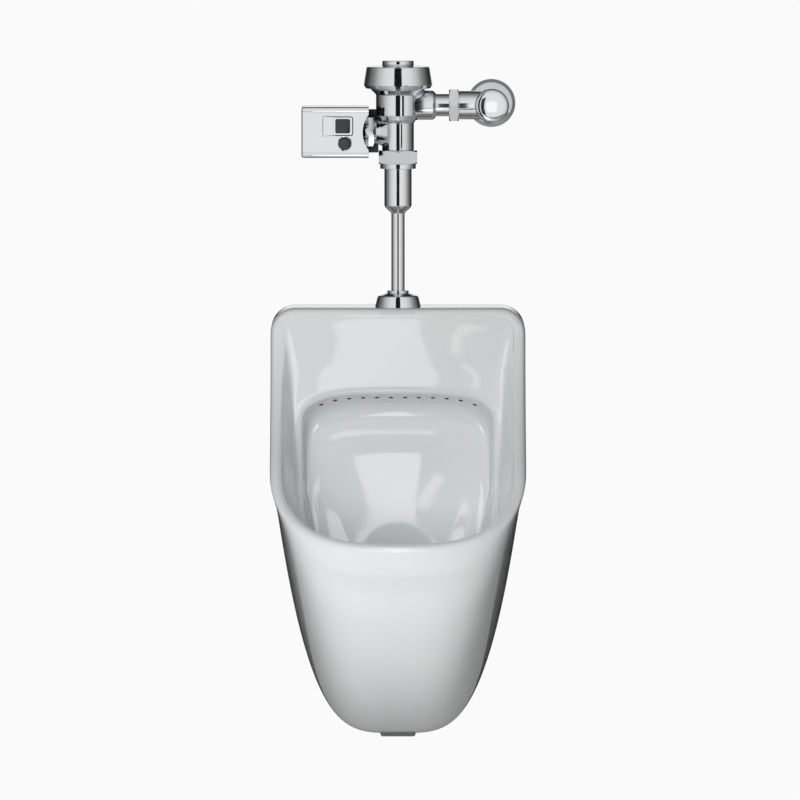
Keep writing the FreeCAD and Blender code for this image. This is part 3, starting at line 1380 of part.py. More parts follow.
motor_across = f"-cam_offset - {gear_distance}"
motor_wall = box("motor_wall", "motor_wall_width", "motor_wall_thickness", f"{inside_height} - 1", shifted(
    PLUNGER_CENTRE, f"{motor_across} - motor_wall_width / 2", "-motor_radius - motor_wall_thickness",
    f"{shelf_foot} + 1"))
base_solid = joined("base_solid", base_plate, shelf, bar, cam_boss, motor_wall)
bushing_hole = ring("base_bushing_hole", "0", "bushing_radius + running", "base_near - 1",
    f"{base_end} + 1",
                    PLUNGER_CENTRE, TO_LEFT)
pin_hole = cylinder("cam_pin_hole", "cam_shaft_radius + running", f"{inside_height}",
                    shifted(PLUNGER_CENTRE, "-cam_offset", "0", f"{shelf_foot} - 1"))
screw_spots = [shifted(PLUNGER_CENTRE, f"-cover_near - cover_length * {share}", "0", "-cover_height / 2")
    for share in (0.28, 0.86)]
screw_holes = [
    cylinder(f"base_screw_hole_{i}", "cover_screw_radius + slip", "cover_wall + base_shelf + 1", spot)
    for i, spot in enumerate(screw_spots)
]
finish(cut("operator_base", base_solid, bushing_hole, pin_hole, *screw_holes), "operator_base")


# Sensor cover: a chromed box open towards the valve, with its window and button openings

cover_bar = rounded_bar("cover_bar", "cover_length", "cover_depth", "cover_height", "cover_round",
    shifted(PLUNGER_CENTRE, cover_left))
cover_room = rounded_bar("cover_room", "cover_length", "(cover_depth - 2 * cover_wall)",
    "(cover_height - 2 * cover_wall)",
                         "cover_round - cover_wall", shifted(PLUNGER_CENTRE, f"{cover_left} + cover_wall"))
scoop = cylinder("cover_scoop", "cover_scoop_radius", "cover_depth + 2",
                 shifted(PLUNGER_CENTRE, "cover_scoop_radius - cover_scoop_near", "-cover_depth / 2 - 1"),
                 OUT_FROM_WALL)
window_room = box("window_room", "window_width + 2 * slip", "window_thickness + 1",
    "window_height + 2 * slip", shifted(
    PLUNGER_CENTRE, "-window_offset - window_width / 2 - slip", "cover_depth / 2 - window_thickness",
    "window_rise - window_height / 2 - slip"))
BUTTON_CENTRE = shifted(PLUNGER_CENTRE, "-button_offset", "0", "-button_drop")
button_hole = ring("button_hole", "0", "button_radius + running", "0", "cover_depth / 2 + 1", BUTTON_CENTRE,
    OUT_FROM_WALL)
cover_screw_holes = [
    cylinder(f"cover_screw_hole_{i}", "cover_screw_radius + slip", "cover_wall + 2", shifted(spot, up="-1"))
    for i, spot in enumerate(screw_spots)
]
finish(cut("sensor_cover", cover_bar, cover_room, scoop, window_room, button_hole, *cover_screw_holes),
    "sensor_cover")
cover_screws = [
    cylinder(f"cover_screw_{i}", "cover_screw_radius", "cover_wall + base_shelf + clearance", spot)
    for i, spot in enumerate(screw_spots)
]
finish(group("cover_screws", *cover_screws), "cover_screws")
finish(box("sensor_window", "window_width", "window_thickness", "window_height", shifted(
    PLUNGER_CENTRE, "-window_offset - window_width / 2", "cover_depth / 2 - window_thickness",
    "window_rise - window_height / 2")), "sensor_window")
board_front = "cover_depth / 2 - board_setback"
finish(box("circuit_board", "board_width", "board_thickness", f"{inside_height} - base_shelf - clearance",
    shifted(
    PLUNGER_CENTRE, "-window_offset - board_width / 2", f"{board_front} - board_thickness", shelf_top)),
    "circuit_board")
diodes = [
    ring(f"ir_diode_{i}", "0", "diode_radius", board_front, "cover_depth / 2 - window_thickness",
         shifted(PLUNGER_CENTRE, f"-window_offset + {side} * diode_pitch / 2", "0", "window_rise"),
         OUT_FROM_WALL)
    for i, side in enumerate((-1, 1))
]
finish(group("ir_diodes", *diodes), "ir_diodes")


# Override button in the front of the cover, held out by its spring

button_front = "cover_depth / 2 + button_proud"
flange_front = "cover_depth / 2 - cover_wall - clearance"
flange_back = f"{flange_front} - button_flange_thickness"
stem_back = f"{board_front} + button_travel + clearance"
finish(turned("override_button", [
    ("0", stem_back), ("button_stem_radius", stem_back), ("button_stem_radius", flange_back),
    ("button_flange_radius", flange_back), ("button_flange_radius", flange_front),
    ("button_radius", flange_front),
    ("button_radius", button_front), ("0", button_front),
], BUTTON_CENTRE, OUT_FROM_WALL), "override_button")
finish(ring("button_spring", "button_stem_radius + clearance",
    "button_stem_radius + clearance + button_spring_wire",
            board_front, flange_back, BUTTON_CENTRE, OUT_FROM_WALL), "button_spring")


# Batteries lying in their holder behind the works

battery_out = f"clearance + holder_plate + battery_radius - {inside_depth} / 2"
battery_left = "-battery_near - battery_length"
cells = []
for i in range(int(size("battery_count"))):
    rise = f"battery_pitch * ({i} - (battery_count - 1) / 2)"
    cells.append(cylinder(f"battery_{i}", "battery_radius", "battery_length",
                          shifted(PLUNGER_CENTRE, battery_left, battery_out, rise), TO_RIGHT))
finish(group("batteries", *cells), "batteries")
holder_height = "battery_pitch * (battery_count - 1) + 2 * battery_radius"
holder_foot = "-battery_pitch * (battery_count - 1) / 2 - battery_radius"
holder_spot = shifted(PLUNGER_CENTRE, f"{battery_left} - holder_plate", f"clearance - {inside_depth} / 2",
    holder_foot)
holder_pieces = [
    box("holder_back", "battery_length + 2 * holder_plate", "holder_plate", holder_height, holder_spot),
    box("holder_left", "holder_plate", "holder_plate + 2 * battery_radius", holder_height, holder_spot),
    box("holder_right", "holder_plate", "holder_plate + 2 * battery_radius", holder_height,
        shifted(holder_spot, "battery_length + holder_plate")),
]
finish(joined("battery_holder", *holder_pieces), "battery_holder")


# Gear train: motor, pinion, and the gear whose snail cam drives the plunger

TOOTH_HEIGHT_UP = 1.0
TOOTH_HEIGHT_DOWN = 1.25
TIP_SHARE = 0.25
ROOT_SHARE = 0.55
CAM_STEPS = 60


def gear_face(teeth, first_turn):
    """A spur gear outline with straight-flanked teeth, the first one centred on the first turn."""
    pitch = size("gear_module") * teeth / 2.0
    tip = pitch + size("gear_module") * TOOTH_HEIGHT_UP
    root = pitch - size("gear_module") * TOOTH_HEIGHT_DOWN
    step = 2.0 * math.pi / teeth
    points = []
    for i in range(teeth):
        for radius, share in ((root, -ROOT_SHARE), (tip, -TIP_SHARE), (tip, TIP_SHARE), (root, ROOT_SHARE)):
            turn = first_turn + step * (i + share / 2.0)
            points.append(Vector(radius * math.cos(turn), radius * math.sin(turn), 0))
    return Part.Face(Part.makePolygon(points + points[:1]))


def cam_radius(degrees):
    """Cam radius behind the plunger line: rising over the sweep, easing back over the rest."""
    sweep = size("cam_sweep")
    low = size("cam_low_radius")
    rise = size("plunger_stroke")
    if degrees <= sweep:
        return low + rise * degrees / sweep
    return low + rise * (1.0 - smooth((degrees - sweep) / (360.0 - sweep)))


def cam_face():
    points = []
    for i in range(CAM_STEPS):
        degrees = 360.0 * i / CAM_STEPS
        turn = math.radians(-degrees)
        points.append(Vector(cam_radius(degrees) * math.cos(turn), cam_radius(degrees) * math.sin(turn), 0))
    return Part.Face(Part.makePolygon(points + points[:1]))


def raised(face, low, high, centre):
    """A flat face lifted into a solid between two heights and set on its shaft."""
    solid = face.extrude(Vector(0, 0, high - low))
    solid.translate(Vector(centre.x, centre.y, centre.z + low))
    return solid


plunger_height = size("china_top") + size("supply_rise") - size("plunger_drop")
cam_centre = Vector(-size("cam_offset"), -size("valve_reach"), plunger_height)
gear_high = -size("plunger_radius") - size("gear_gap")
gear_low = gear_high - size("gear_thickness")
cam_high = gear_high + size("cam_thickness")
cam_teeth = int(size("cam_gear_teeth"))
small_teeth = int(size("pinion_teeth"))
pinion_centre = cam_centre - Vector(size("gear_module") * (cam_teeth + small_teeth) / 2.0, 0, 0)
cam_gear = doc.addObject("Part::Feature", "cam_gear")
cam_solid = raised(gear_face(cam_teeth, math.pi), gear_low, gear_high, cam_centre).fuse(
    raised(cam_face(), gear_high, cam_high, cam_centre))
shaft_room = Part.makeCylinder(size("cam_shaft_radius") + size("running"), size("cover_height"),
                               cam_centre - Vector(0, 0, size("cover_height") / 2.0))
cam_gear.Shape = cam_solid.cut(shaft_room).removeSplitter()
finish(cam_gear, "cam_gear")
pinion = doc.addObject("Part::Feature", "motor_pinion")
rotor_low = cam_high + size("motor_gap") + size("motor_can") + size("rotor_play")
rotor_length = size("motor_length") - 2.0 * (size("motor_can") + size("rotor_play"))
shaft = Part.makeCylinder(size("motor_shaft_radius"), rotor_low - gear_low + 1.0,
    pinion_centre + Vector(0, 0, gear_low))
rotor = Part.makeCylinder(size("rotor_radius"), rotor_length, pinion_centre + Vector(0, 0, rotor_low))
small_gear = raised(gear_face(small_teeth, math.pi / small_teeth), gear_low, gear_high, pinion_centre)
pinion.Shape = small_gear.multiFuse([shaft, rotor]).removeSplitter()
finish(pinion, "motor_pinion")
cam_top = f"{gear_top} + cam_thickness"
finish(cylinder("cam_shaft", "cam_shaft_radius", f"{cam_top} + motor_gap - ({shelf_foot})",
                shifted(PLUNGER_CENTRE, "-cam_offset", "0", shelf_foot)), "cam_shaft")
motor_foot = f"{cam_top} + motor_gap"
motor_head = f"{motor_foot} + motor_length"
finish(turned("gear_motor", [
    ("motor_shaft_radius + slip", motor_foot), ("motor_radius", motor_foot), ("motor_radius", motor_head),
    ("0", motor_head), ("0", f"{motor_head} - motor_can"),
    ("rotor_radius + rotor_play", f"{motor_head} - motor_can"),
    ("rotor_radius + rotor_play", f"{motor_foot} + motor_can"),
    ("motor_shaft_radius + slip", f"{motor_foot} + motor_can"),
], shifted(PLUNGER_CENTRE, motor_across), UPRIGHT), "gear_motor")


# Plunger: pushed by the cam, it tilts the relief valve's stem

plunger_tip = "relief_stem_radius + clearance"
plunger_end = "cam_offset - cam_low_radius - clearance"
collar_end = "plunger_collar_start + plunger_collar_width"
finish(turned("plunger", [
    ("0", plunger_tip), ("plunger_nose_radius", plunger_tip),
    ("plunger_radius", f"{plunger_tip} + plunger_nose_length"),
    ("plunger_radius", "plunger_collar_start"),
    ("plunger_collar_radius", "plunger_collar_start"), ("plunger_collar_radius", collar_end),
    ("plunger_radius", collar_end),
    ("plunger_radius", f"{plunger_end} - plunger_tail_length"), ("plunger_tail_radius", plunger_end),
    ("0", plunger_end),
], PLUNGER_CENTRE, TO_LEFT), "plunger")
finish(ring("plunger_spring", "plunger_radius + clearance",
    "plunger_radius + clearance + plunger_spring_wire", base_end,
            "plunger_collar_start", PLUNGER_CENTRE, TO_LEFT), "plunger_spring")


# Every object is checked before its piece is written

doc.recompute()
for item in doc.Objects:
    if "Invalid" in item.State or "Error" in item.State:
        raise RuntimeError(f"{item.Name} did not build")
os.makedirs("parts", exist_ok=True)
for item in finished:
    if item.Shape.isNull() or not item.Shape.isValid() or item.Shape.Volume <= 0.0:
        raise RuntimeError(f"{item.Label} has no valid shape")
    item.Shape.exportStep(f"parts/{item.Label}.step")
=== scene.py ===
import json
import math

import bmesh
import bpy
import numpy as np
from mathutils import Matrix, Vector


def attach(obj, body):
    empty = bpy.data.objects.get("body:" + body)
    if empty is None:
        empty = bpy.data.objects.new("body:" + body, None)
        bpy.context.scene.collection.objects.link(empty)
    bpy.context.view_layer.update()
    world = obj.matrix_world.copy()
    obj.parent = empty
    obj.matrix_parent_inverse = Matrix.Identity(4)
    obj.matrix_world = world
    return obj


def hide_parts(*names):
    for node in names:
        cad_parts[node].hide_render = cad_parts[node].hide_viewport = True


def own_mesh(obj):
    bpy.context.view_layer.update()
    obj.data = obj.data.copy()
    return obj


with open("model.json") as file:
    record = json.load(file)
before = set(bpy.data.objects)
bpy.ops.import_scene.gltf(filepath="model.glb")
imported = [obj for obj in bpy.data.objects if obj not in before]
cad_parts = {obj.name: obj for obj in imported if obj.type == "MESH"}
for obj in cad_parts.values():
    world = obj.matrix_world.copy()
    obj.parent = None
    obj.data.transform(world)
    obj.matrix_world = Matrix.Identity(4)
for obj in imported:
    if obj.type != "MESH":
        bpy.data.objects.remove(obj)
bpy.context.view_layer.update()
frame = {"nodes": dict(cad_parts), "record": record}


# China body
# One slip-cast piece of vitreous china: a flat back, two wings, a rounded rim and a deep bowl.
# It is glazed but for its foot, hangs on two steel hangers and carries its own trap below the bowl.

MM = 0.001
CHINA_TOP = 500 * MM
CHINA_HEIGHT = 619 * MM
CHINA_HALF_WIDTH = 182 * MM
CHINA_CORNER = 36 * MM
TAPER_START = 225 * MM
PANEL_REACH = 112 * MM
PANEL_CROWN = 6 * MM
PANEL_SETBACK = 3 * MM
RIM_ROUND = 8 * MM
LIP_ROUND = 14 * MM
WING_FOOT_DROP = 224 * MM
WING_FOOT_REACH = 235 * MM
WING_CURVE = 1.8
WING_SOFTNESS = 1.6
EVEN_SPAN = 7
EVEN_PULL = 1.3
LIP_DROP = 336 * MM
LIP_REACH = 348 * MM
RECESS_HALF_WIDTH = 143 * MM
RECESS_TOP_DROP = 118 * MM
RECESS_SIDE_DROP = 185 * MM
RECESS_FOOT_DROP = 245 * MM
RECESS_EDGE_ROUND = 6 * MM
RECESS_EDGE_SETBACK = 26 * MM
RECESS_EDGE_SINK = 40 * MM
RECESS_REACH_CURVE = 1.3
LEDGE_DEPTH = 42 * MM
LEDGE_FALL = 22 * MM
LEDGE_INSET = 4 * MM
LEDGE_FOOT_SINK = 6 * MM
LEDGE_SETBACK = 42 * MM
LEDGE_SINK = 90 * MM
BOWL_BACK_REACH = 46 * MM
BOWL_BACK_FALL = 150 * MM
BOWL_FRONT_FALL = 62 * MM
BOWL_FRONT_INSET = 12 * MM
BOWL_NARROWING = 0.8
BOWL_STEPS = 8
SUMP_HEIGHT = 12 * MM
DRAIN_REACH = 130 * MM
DRAIN_RADIUS = 32 * MM
DRAIN_SPREAD = 2.3
DRAIN_RISE = 6 * MM
LOWER_STEPS = 40
SIDE_STEPS = 14
CORNER_STEPS = 10
TOP_STEPS = 14
STRIP_CUTS = 4
LOWER_CROWDING = 1.5
FRONT_GAIN = 1.6
SHARP_DEGREES = 32.0
# Powers of the round outlines: two gives an ellipse, one a straight slope, and more a squarer corner
WALL_ACROSS_POWER = 3.73
WALL_FALL_POWER = 1.0
RIM_POWER = 2.8
BASIN_POWER = 2.6
ARCH_POWER = 3.6
BELLY_POWER = 2.2


def mix(first, second, share):
    return first + (second - first) * share


def smooth(share):
    share = min(max(share, 0.0), 1.0)
    return share * share * (3.0 - 2.0 * share)


def power(base, exponent):
    return max(base, 0.0) ** exponent


LOWER_ANGLES = [
    math.radians(90.0 * (1.0 - (i / LOWER_STEPS) ** LOWER_CROWDING)) for i in range(LOWER_STEPS + 1)]
FRONT_SHARES = [smooth(math.sin(angle) * FRONT_GAIN) for angle in LOWER_ANGLES]
FRONT_SHARES += [0.0] * (SIDE_STEPS + CORNER_STEPS + TOP_STEPS)


def wall_outline():
    """Half of the outline on the wall, bottom centre to top centre, as (across, height)."""
    run = CHINA_HEIGHT - TAPER_START
    side_foot = CHINA_TOP - TAPER_START
    side_head = CHINA_TOP - CHINA_CORNER
    inner = CHINA_HALF_WIDTH - CHINA_CORNER
    points = []
    for angle in LOWER_ANGLES:
        across = CHINA_HALF_WIDTH * power(math.cos(angle), 2.0 / WALL_ACROSS_POWER)
        points.append((across, side_foot - run * power(math.sin(angle), 2.0 / WALL_FALL_POWER)))
    for i in range(1, SIDE_STEPS + 1):
        points.append((CHINA_HALF_WIDTH, mix(side_foot, side_head, i / SIDE_STEPS)))
    for i in range(1, CORNER_STEPS + 1):
        turn = math.radians(90.0 * i / CORNER_STEPS)
        points.append((inner + CHINA_CORNER * math.cos(turn), side_head + CHINA_CORNER * math.sin(turn)))
    for i in range(1, TOP_STEPS + 1):
        points.append((inner * (1.0 - i / TOP_STEPS), CHINA_TOP))
    return points


def rim_crest():
    """Half of the rim's foremost line, as (across, reach, height)."""
    half = CHINA_HALF_WIDTH - RIM_ROUND
    corner = CHINA_CORNER - RIM_ROUND
    foot = CHINA_TOP - WING_FOOT_DROP
    lip = CHINA_TOP - LIP_DROP
    shoulder = CHINA_TOP - RIM_ROUND - corner
    points = []
    for angle in LOWER_ANGLES:
        share = power(math.sin(angle), 2.0 / RIM_POWER)
        across = half * power(math.cos(angle), 2.0 / RIM_POWER)
        points.append((across, mix(WING_FOOT_REACH, LIP_REACH, share), mix(foot, lip, share)))
    for i in range(1, SIDE_STEPS + 1):
        share = i / SIDE_STEPS
        reach = mix(PANEL_REACH, WING_FOOT_REACH, power(1.0 - share, WING_CURVE))
        points.append((half, reach, mix(foot, shoulder, share)))
    for i in range(1, CORNER_STEPS + 1):
        turn = math.radians(90.0 * i / CORNER_STEPS)
        across = half - corner + corner * math.cos(turn)
        points.append((across, PANEL_REACH, shoulder + corner * math.sin(turn)))
    for i in range(1, TOP_STEPS + 1):
        share = i / TOP_STEPS
        reach = PANEL_REACH + PANEL_CROWN * smooth(share)
        points.append(((half - corner) * (1.0 - share), reach, shoulder + corner))
    return points


def recess_line(half, side_low, side_high, crown, front_reach, back_reach, low_drop):
    """Half of one closed line inside the opening: low front, straight side, arched top."""
    points = []
    for angle in LOWER_ANGLES:
        across = half * power(math.cos(angle), 2.0 / BASIN_POWER)
        height = mix(CHINA_TOP - side_low, CHINA_TOP - low_drop, power(math.sin(angle), 2.0 / BASIN_POWER))
        reach = mix(back_reach, front_reach, power(math.sin(angle), RECESS_REACH_CURVE))
        points.append((across, reach, height))
    for i in range(1, SIDE_STEPS + 1):
        points.append((half, back_reach, mix(CHINA_TOP - side_low, CHINA_TOP - side_high, i / SIDE_STEPS)))
    rise = side_high - crown
    turn_across = half * 0.5 ** (1.0 / ARCH_POWER)
    for i in range(1, CORNER_STEPS + 1):
        turn = math.radians(45.0 * i / CORNER_STEPS)
        across = half * power(math.cos(turn), 2.0 / ARCH_POWER)
        height = rise * power(math.sin(turn), 2.0 / ARCH_POWER)
        points.append((across, back_reach, CHINA_TOP - side_high + height))
    for i in range(1, TOP_STEPS + 1):
        across = turn_across * (1.0 - i / TOP_STEPS)
        height = rise * power(1.0 - (across / half) ** ARCH_POWER, 1.0 / ARCH_POWER)
        points.append((across, back_reach, CHINA_TOP - side_high + height))
    return points


def inward_normals(line):
    """Unit (across, height) directions square to a half ring in the front view, into the opening."""
    flat = [(point[0], point[-1]) for point in line]
    flat = [(-flat[1][0], flat[1][1])] + flat + [(-flat[-2][0], flat[-2][1])]
    normals = []
    for before, after in zip(flat, flat[2:]):
        across = after[0] - before[0]
        height = after[1] - before[1]
        length = math.hypot(across, height)
        normals.append((-height / length, across / length))
    return normals


def outer_rings(outline, crest, inward):
    """The outside skin: straight out from the wall at the sides, a belly in front, then round the rim."""
    along = [0.0, 0.3, 0.6, 0.85, 1.0, 1.0, 1.0, 1.0]
    turns = [math.radians(angle) for angle in (0.0, 0.0, 0.0, 0.0, 0.0, 30.0, 60.0, 90.0)]
    sweep = [0.0, 0.22, 0.42, 0.6, 0.76, 0.86, 0.94, 1.0]
    rings = []
    for reach_share, turn, share in zip(along, turns, sweep):
        follow = smooth(share)
        angle = math.radians(90.0 * share)
        front_in = 1.0 - power(math.cos(angle), 2.0 / BELLY_POWER)
        ring = []
        for i, front in enumerate(FRONT_SHARES):
            side_in = RIM_ROUND * (1.0 - math.cos(turn))
            base_across = crest[i][0] - inward[i][0] * RIM_ROUND
            base_height = crest[i][2] - inward[i][1] * RIM_ROUND
            side_across = mix(outline[i][0], base_across, follow * follow) + inward[i][0] * side_in
            side_reach = (crest[i][1] - RIM_ROUND) * reach_share + RIM_ROUND * math.sin(turn)
            side_height = mix(outline[i][1], base_height, follow) + inward[i][1] * side_in
            front_across = mix(outline[i][0], crest[i][0], front_in)
            front_reach = crest[i][1] * power(math.sin(angle), 2.0 / BELLY_POWER)
            front_height = mix(outline[i][1], crest[i][2], front_in)
            ring.append((
                mix(side_across, front_across, front), mix(side_reach, front_reach, front),
                mix(side_height, front_height, front)))
        rings.append(ring)
    return rings


def evened(values):
    """Each value of a half ring averaged with its neighbours."""
    spans = [values[max(i - EVEN_SPAN, 0):i + EVEN_SPAN + 1] for i in range(len(values))]
    return [sum(span) / len(span) for span in spans]


def inner_rings(crest, inward):
    """The inside: round the rim, over the panel to the recess edge, under the ledge and down to the drain."""
    turns = [math.radians(angle) for angle in (30.0, 60.0, 90.0)]
    rings = []
    # The rim rolls inwards at the lip and the wings, and fades into the flat panel at the top
    rolls = [mix(RIM_ROUND, LIP_ROUND, front) for front in FRONT_SHARES]
    fades = [smooth((point[1] - PANEL_REACH) / (WING_FOOT_REACH - PANEL_REACH)) for point in crest]
    for turn in turns:
        rings.append([
            (
                peak[0] + into[0] * roll * math.sin(turn), peak[1] - roll * (1.0 - math.cos(turn)) * fade,
                peak[2] + into[1] * roll * math.sin(turn))
            for peak, into, roll, fade in zip(crest, inward, rolls, fades)])
    nose = rings[-1]
    edge = recess_line(
        RECESS_HALF_WIDTH, RECESS_FOOT_DROP, RECESS_SIDE_DROP, RECESS_TOP_DROP,
        LIP_REACH - RECESS_EDGE_SETBACK, PANEL_REACH - PANEL_SETBACK, LIP_DROP + RECESS_EDGE_SINK)
    for angle in (18.0, 36.0, 54.0, 72.0, 90.0):
        turn = math.radians(angle)
        keep = math.cos(turn)
        eased = smooth(1.0 - keep)
        reaches = [
            mix(start[1], end[1], mix(eased, math.sin(turn) ** mix(WING_SOFTNESS, 1.0, front), fade))
            for start, end, fade, front in zip(nose, edge, fades, FRONT_SHARES)]
        # Away from the front the reaches are evened out, which softens the crease beside the panel
        reaches = [
            mix(own, even, EVEN_PULL * math.sin(2.0 * turn) * math.sin(turn) * (1.0 - front))
            for own, even, front in zip(reaches, evened(reaches), FRONT_SHARES)]
        rings.append([
            (mix(end[0], start[0], keep), reach, mix(end[2], start[2], keep))
            for start, end, reach in zip(nose, edge, reaches)])
    for turn in turns[1:]:
        step = RECESS_EDGE_ROUND * math.sin(turn)
        drop = RECESS_EDGE_ROUND * (1.0 - math.cos(turn))
        ring = []
        for point, into, front in zip(edge, inward_normals(edge), FRONT_SHARES):
            across = point[0] + into[0] * step * (1.0 - front)
            reach = point[1] - drop * (1.0 - front) - front * turn * MM
            ring.append((across, reach, point[2] + into[1] * step))
        rings.append(ring)
    ledge = recess_line(
        RECESS_HALF_WIDTH - RECESS_EDGE_ROUND - LEDGE_INSET, RECESS_FOOT_DROP + LEDGE_FOOT_SINK,
        RECESS_SIDE_DROP + LEDGE_FALL, RECESS_TOP_DROP + LEDGE_FALL, LIP_REACH - LEDGE_SETBACK,
        edge[-1][1] - LEDGE_DEPTH, LIP_DROP + LEDGE_SINK)
    rings.append(ledge)
    # From the ledge each point falls to the drain's mouth on a cubic curve with two guide points
    for step in range(1, BOWL_STEPS + 1):
        share = step / BOWL_STEPS
        weights = ((1 - share) ** 3, 3 * share * (1 - share) ** 2, 3 * share ** 2 * (1 - share), share ** 3)
        ring = []
        for i, start in enumerate(ledge):
            swing = math.pi * i / (len(ledge) - 1)
            aside = DRAIN_RADIUS * math.sin(swing)
            ahead = DRAIN_RADIUS * math.cos(swing)
            mouth = (aside, DRAIN_REACH + ahead, SUMP_HEIGHT)
            fall = mix(BOWL_BACK_FALL, BOWL_FRONT_FALL, FRONT_SHARES[i])
            reach = mix(BOWL_BACK_REACH, start[1] - BOWL_FRONT_INSET, FRONT_SHARES[i])
            leave = (start[0] * BOWL_NARROWING, reach, start[2] - fall)
            arrive = (aside * DRAIN_SPREAD, DRAIN_REACH + ahead * DRAIN_SPREAD, SUMP_HEIGHT + DRAIN_RISE)
            curve = (start, leave, arrive, mouth)
            ring.append(tuple(
                sum(weight * point[axis] for weight, point in zip(weights, curve)) for axis in range(3)))
        rings.append(ring)
    return rings


def full_ring(half):
    """A whole ring of points in the frame, from a half ring and its mirror image."""
    left = [(-across, reach, height) for across, reach, height in half[-2:0:-1]]
    return [(across, -reach, height) for across, reach, height in list(half) + left]


def smoothed_strips(rings):
    """Extra rings between the given ones, on a smooth curve through each row of points."""
    table = np.array([full_ring(half) for half in rings])
    steps = np.linalg.norm(np.diff(table, axis=0), axis=2) + 1e-9
    knots = np.concatenate([np.zeros((1, table.shape[1])), np.cumsum(np.sqrt(steps), axis=0)])
    before = np.concatenate([2 * table[:1] - table[1:2], table[:-1]])
    after = np.concatenate([table[1:], 2 * table[-1:] - table[-2:-1]])
    gaps = np.diff(knots, axis=0)
    gap_before = np.concatenate([gaps[:1], gaps])[..., None]
    gap_after = np.concatenate([gaps, gaps[-1:]])[..., None]
    slopes = ((table - before) / gap_before * gap_after + (after - table) / gap_after * gap_before)
    slopes /= gap_before + gap_after
    result = []
    for i in range(len(table) - 1):
        gap = gaps[i][:, None]
        for cut in range(STRIP_CUTS):
            run = cut / STRIP_CUTS
            result.append(
                (2 * run ** 3 - 3 * run ** 2 + 1) * table[i]
                + (run ** 3 - 2 * run ** 2 + run) * gap * slopes[i]
                + (3 * run ** 2 - 2 * run ** 3) * table[i + 1]
                + (run ** 3 - run ** 2) * gap * slopes[i + 1])
    result.append(table[-1])
    return result


def ringed_mesh(name, rings, capped=True):
    """A mesh skinned over closed rings of points, with or without caps on its two ends."""
    mesh = bpy.data.meshes.new(name)
    count = len(rings[0])
    points = [tuple(point) for ring in rings for point in ring]
    faces = []
    for row in range(len(rings) - 1):
        for i in range(count):
            j = (i + 1) % count
            faces.append((row * count + i, row * count + j, (row + 1) * count + j, (row + 1) * count + i))
    if capped:
        faces.append(tuple(reversed(range(count))))
        faces.append(tuple(range((len(rings) - 1) * count, len(rings) * count)))
    mesh.from_pydata(points, [], faces)
    return mesh


def tidied(mesh, sharp_degrees=SHARP_DEGREES):
    """Doubles merged, faces outwards, and every edge smooth unless it is sharper than the given angle."""
    work = bmesh.new()
    work.from_mesh(mesh)
    bmesh.ops.remove_doubles(work, verts=work.verts, dist=1e-6)
    bmesh.ops.recalc_face_normals(work, faces=work.faces)
    work.to_mesh(mesh)
    work.free()
    mesh.shade_smooth()
    mesh.set_sharp_from_angle(angle=math.radians(sharp_degrees))
    return mesh


def new_piece(mesh, material=None):
    piece = bpy.data.objects.new(mesh.name, mesh)
    bpy.context.scene.collection.objects.link(piece)
    if material is not None:
        mesh.materials.append(material)
    return piece


outline = wall_outline()
crest = rim_crest()
inward = inward_normals(crest)
glazed_rings = smoothed_strips(outer_rings(outline, crest, inward) + inner_rings(crest, inward))
china = new_piece(ringed_mesh("china_body", glazed_rings))


def prism_between(name, loop, low_reach, high_reach):
    """A straight solid from a front-view outline of (across, height) points between two reaches."""
    rings = [[(across, -reach, height) for across, height in loop] for reach in (low_reach, high_reach)]
    return new_piece(tidied(ringed_mesh(name, rings)))


def cut_away(piece, tools, overlapping=False):
    """Takes each tool's solid out of the piece for good; overlapping is for a piece of several shells."""
    for tool in tools:
        change = piece.modifiers.new("cut", "BOOLEAN")
        change.operation = "DIFFERENCE"
        change.solver = "EXACT"
        change.use_self = overlapping
        change.material_mode = "TRANSFER"
        change.object = tool
    result = bpy.data.meshes.new_from_object(piece.evaluated_get(bpy.context.evaluated_depsgraph_get()))
    piece.modifiers.clear()
    piece.data = result
    for tool in tools:
        bpy.data.objects.remove(tool)


POCKET_INSET = 16.5 * MM
POCKET_DEPTH = 34 * MM
POCKET_DROP = 120 * MM
HANGER_SPACING = 290 * MM
HANGER_POCKET_HALF = 21.5 * MM
HANGER_POCKET_TOP = 470 * MM
HANGER_POCKET_HEIGHT = 63 * MM
HANGER_POCKET_DEPTH = 27 * MM
OUTLET_SEAT = 16 * MM
taper_height = CHINA_TOP - TAPER_START
shrink = (CHINA_HALF_WIDTH - POCKET_INSET) / CHINA_HALF_WIDTH
fall = (CHINA_HEIGHT - TAPER_START - POCKET_INSET) / (CHINA_HEIGHT - TAPER_START)
pocket_side = [(x * shrink, taper_height + (z - taper_height) * fall) for x, z in outline[:LOWER_STEPS + 1]]
pocket_side.append((CHINA_HALF_WIDTH - POCKET_INSET, CHINA_TOP - POCKET_DROP))
pocket_loop = pocket_side + [(-x, z) for x, z in pocket_side[:0:-1]]
hollows = [prism_between("back_pocket", pocket_loop, -MM, POCKET_DEPTH)]
for side in (-0.5, 0.5):
    left = side * HANGER_SPACING - HANGER_POCKET_HALF
    right = side * HANGER_SPACING + HANGER_POCKET_HALF
    low = HANGER_POCKET_TOP - HANGER_POCKET_HEIGHT
    loop = [(left, low), (right, low), (right, HANGER_POCKET_TOP), (left, HANGER_POCKET_TOP)]
    hollows.append(prism_between("hanger_pocket", loop, -MM, HANGER_POCKET_DEPTH))
cut_away(china, hollows)


FILLET_STEPS = 7
FILLET_LIMIT = 0.45
FILLET_LEAD = 0.08


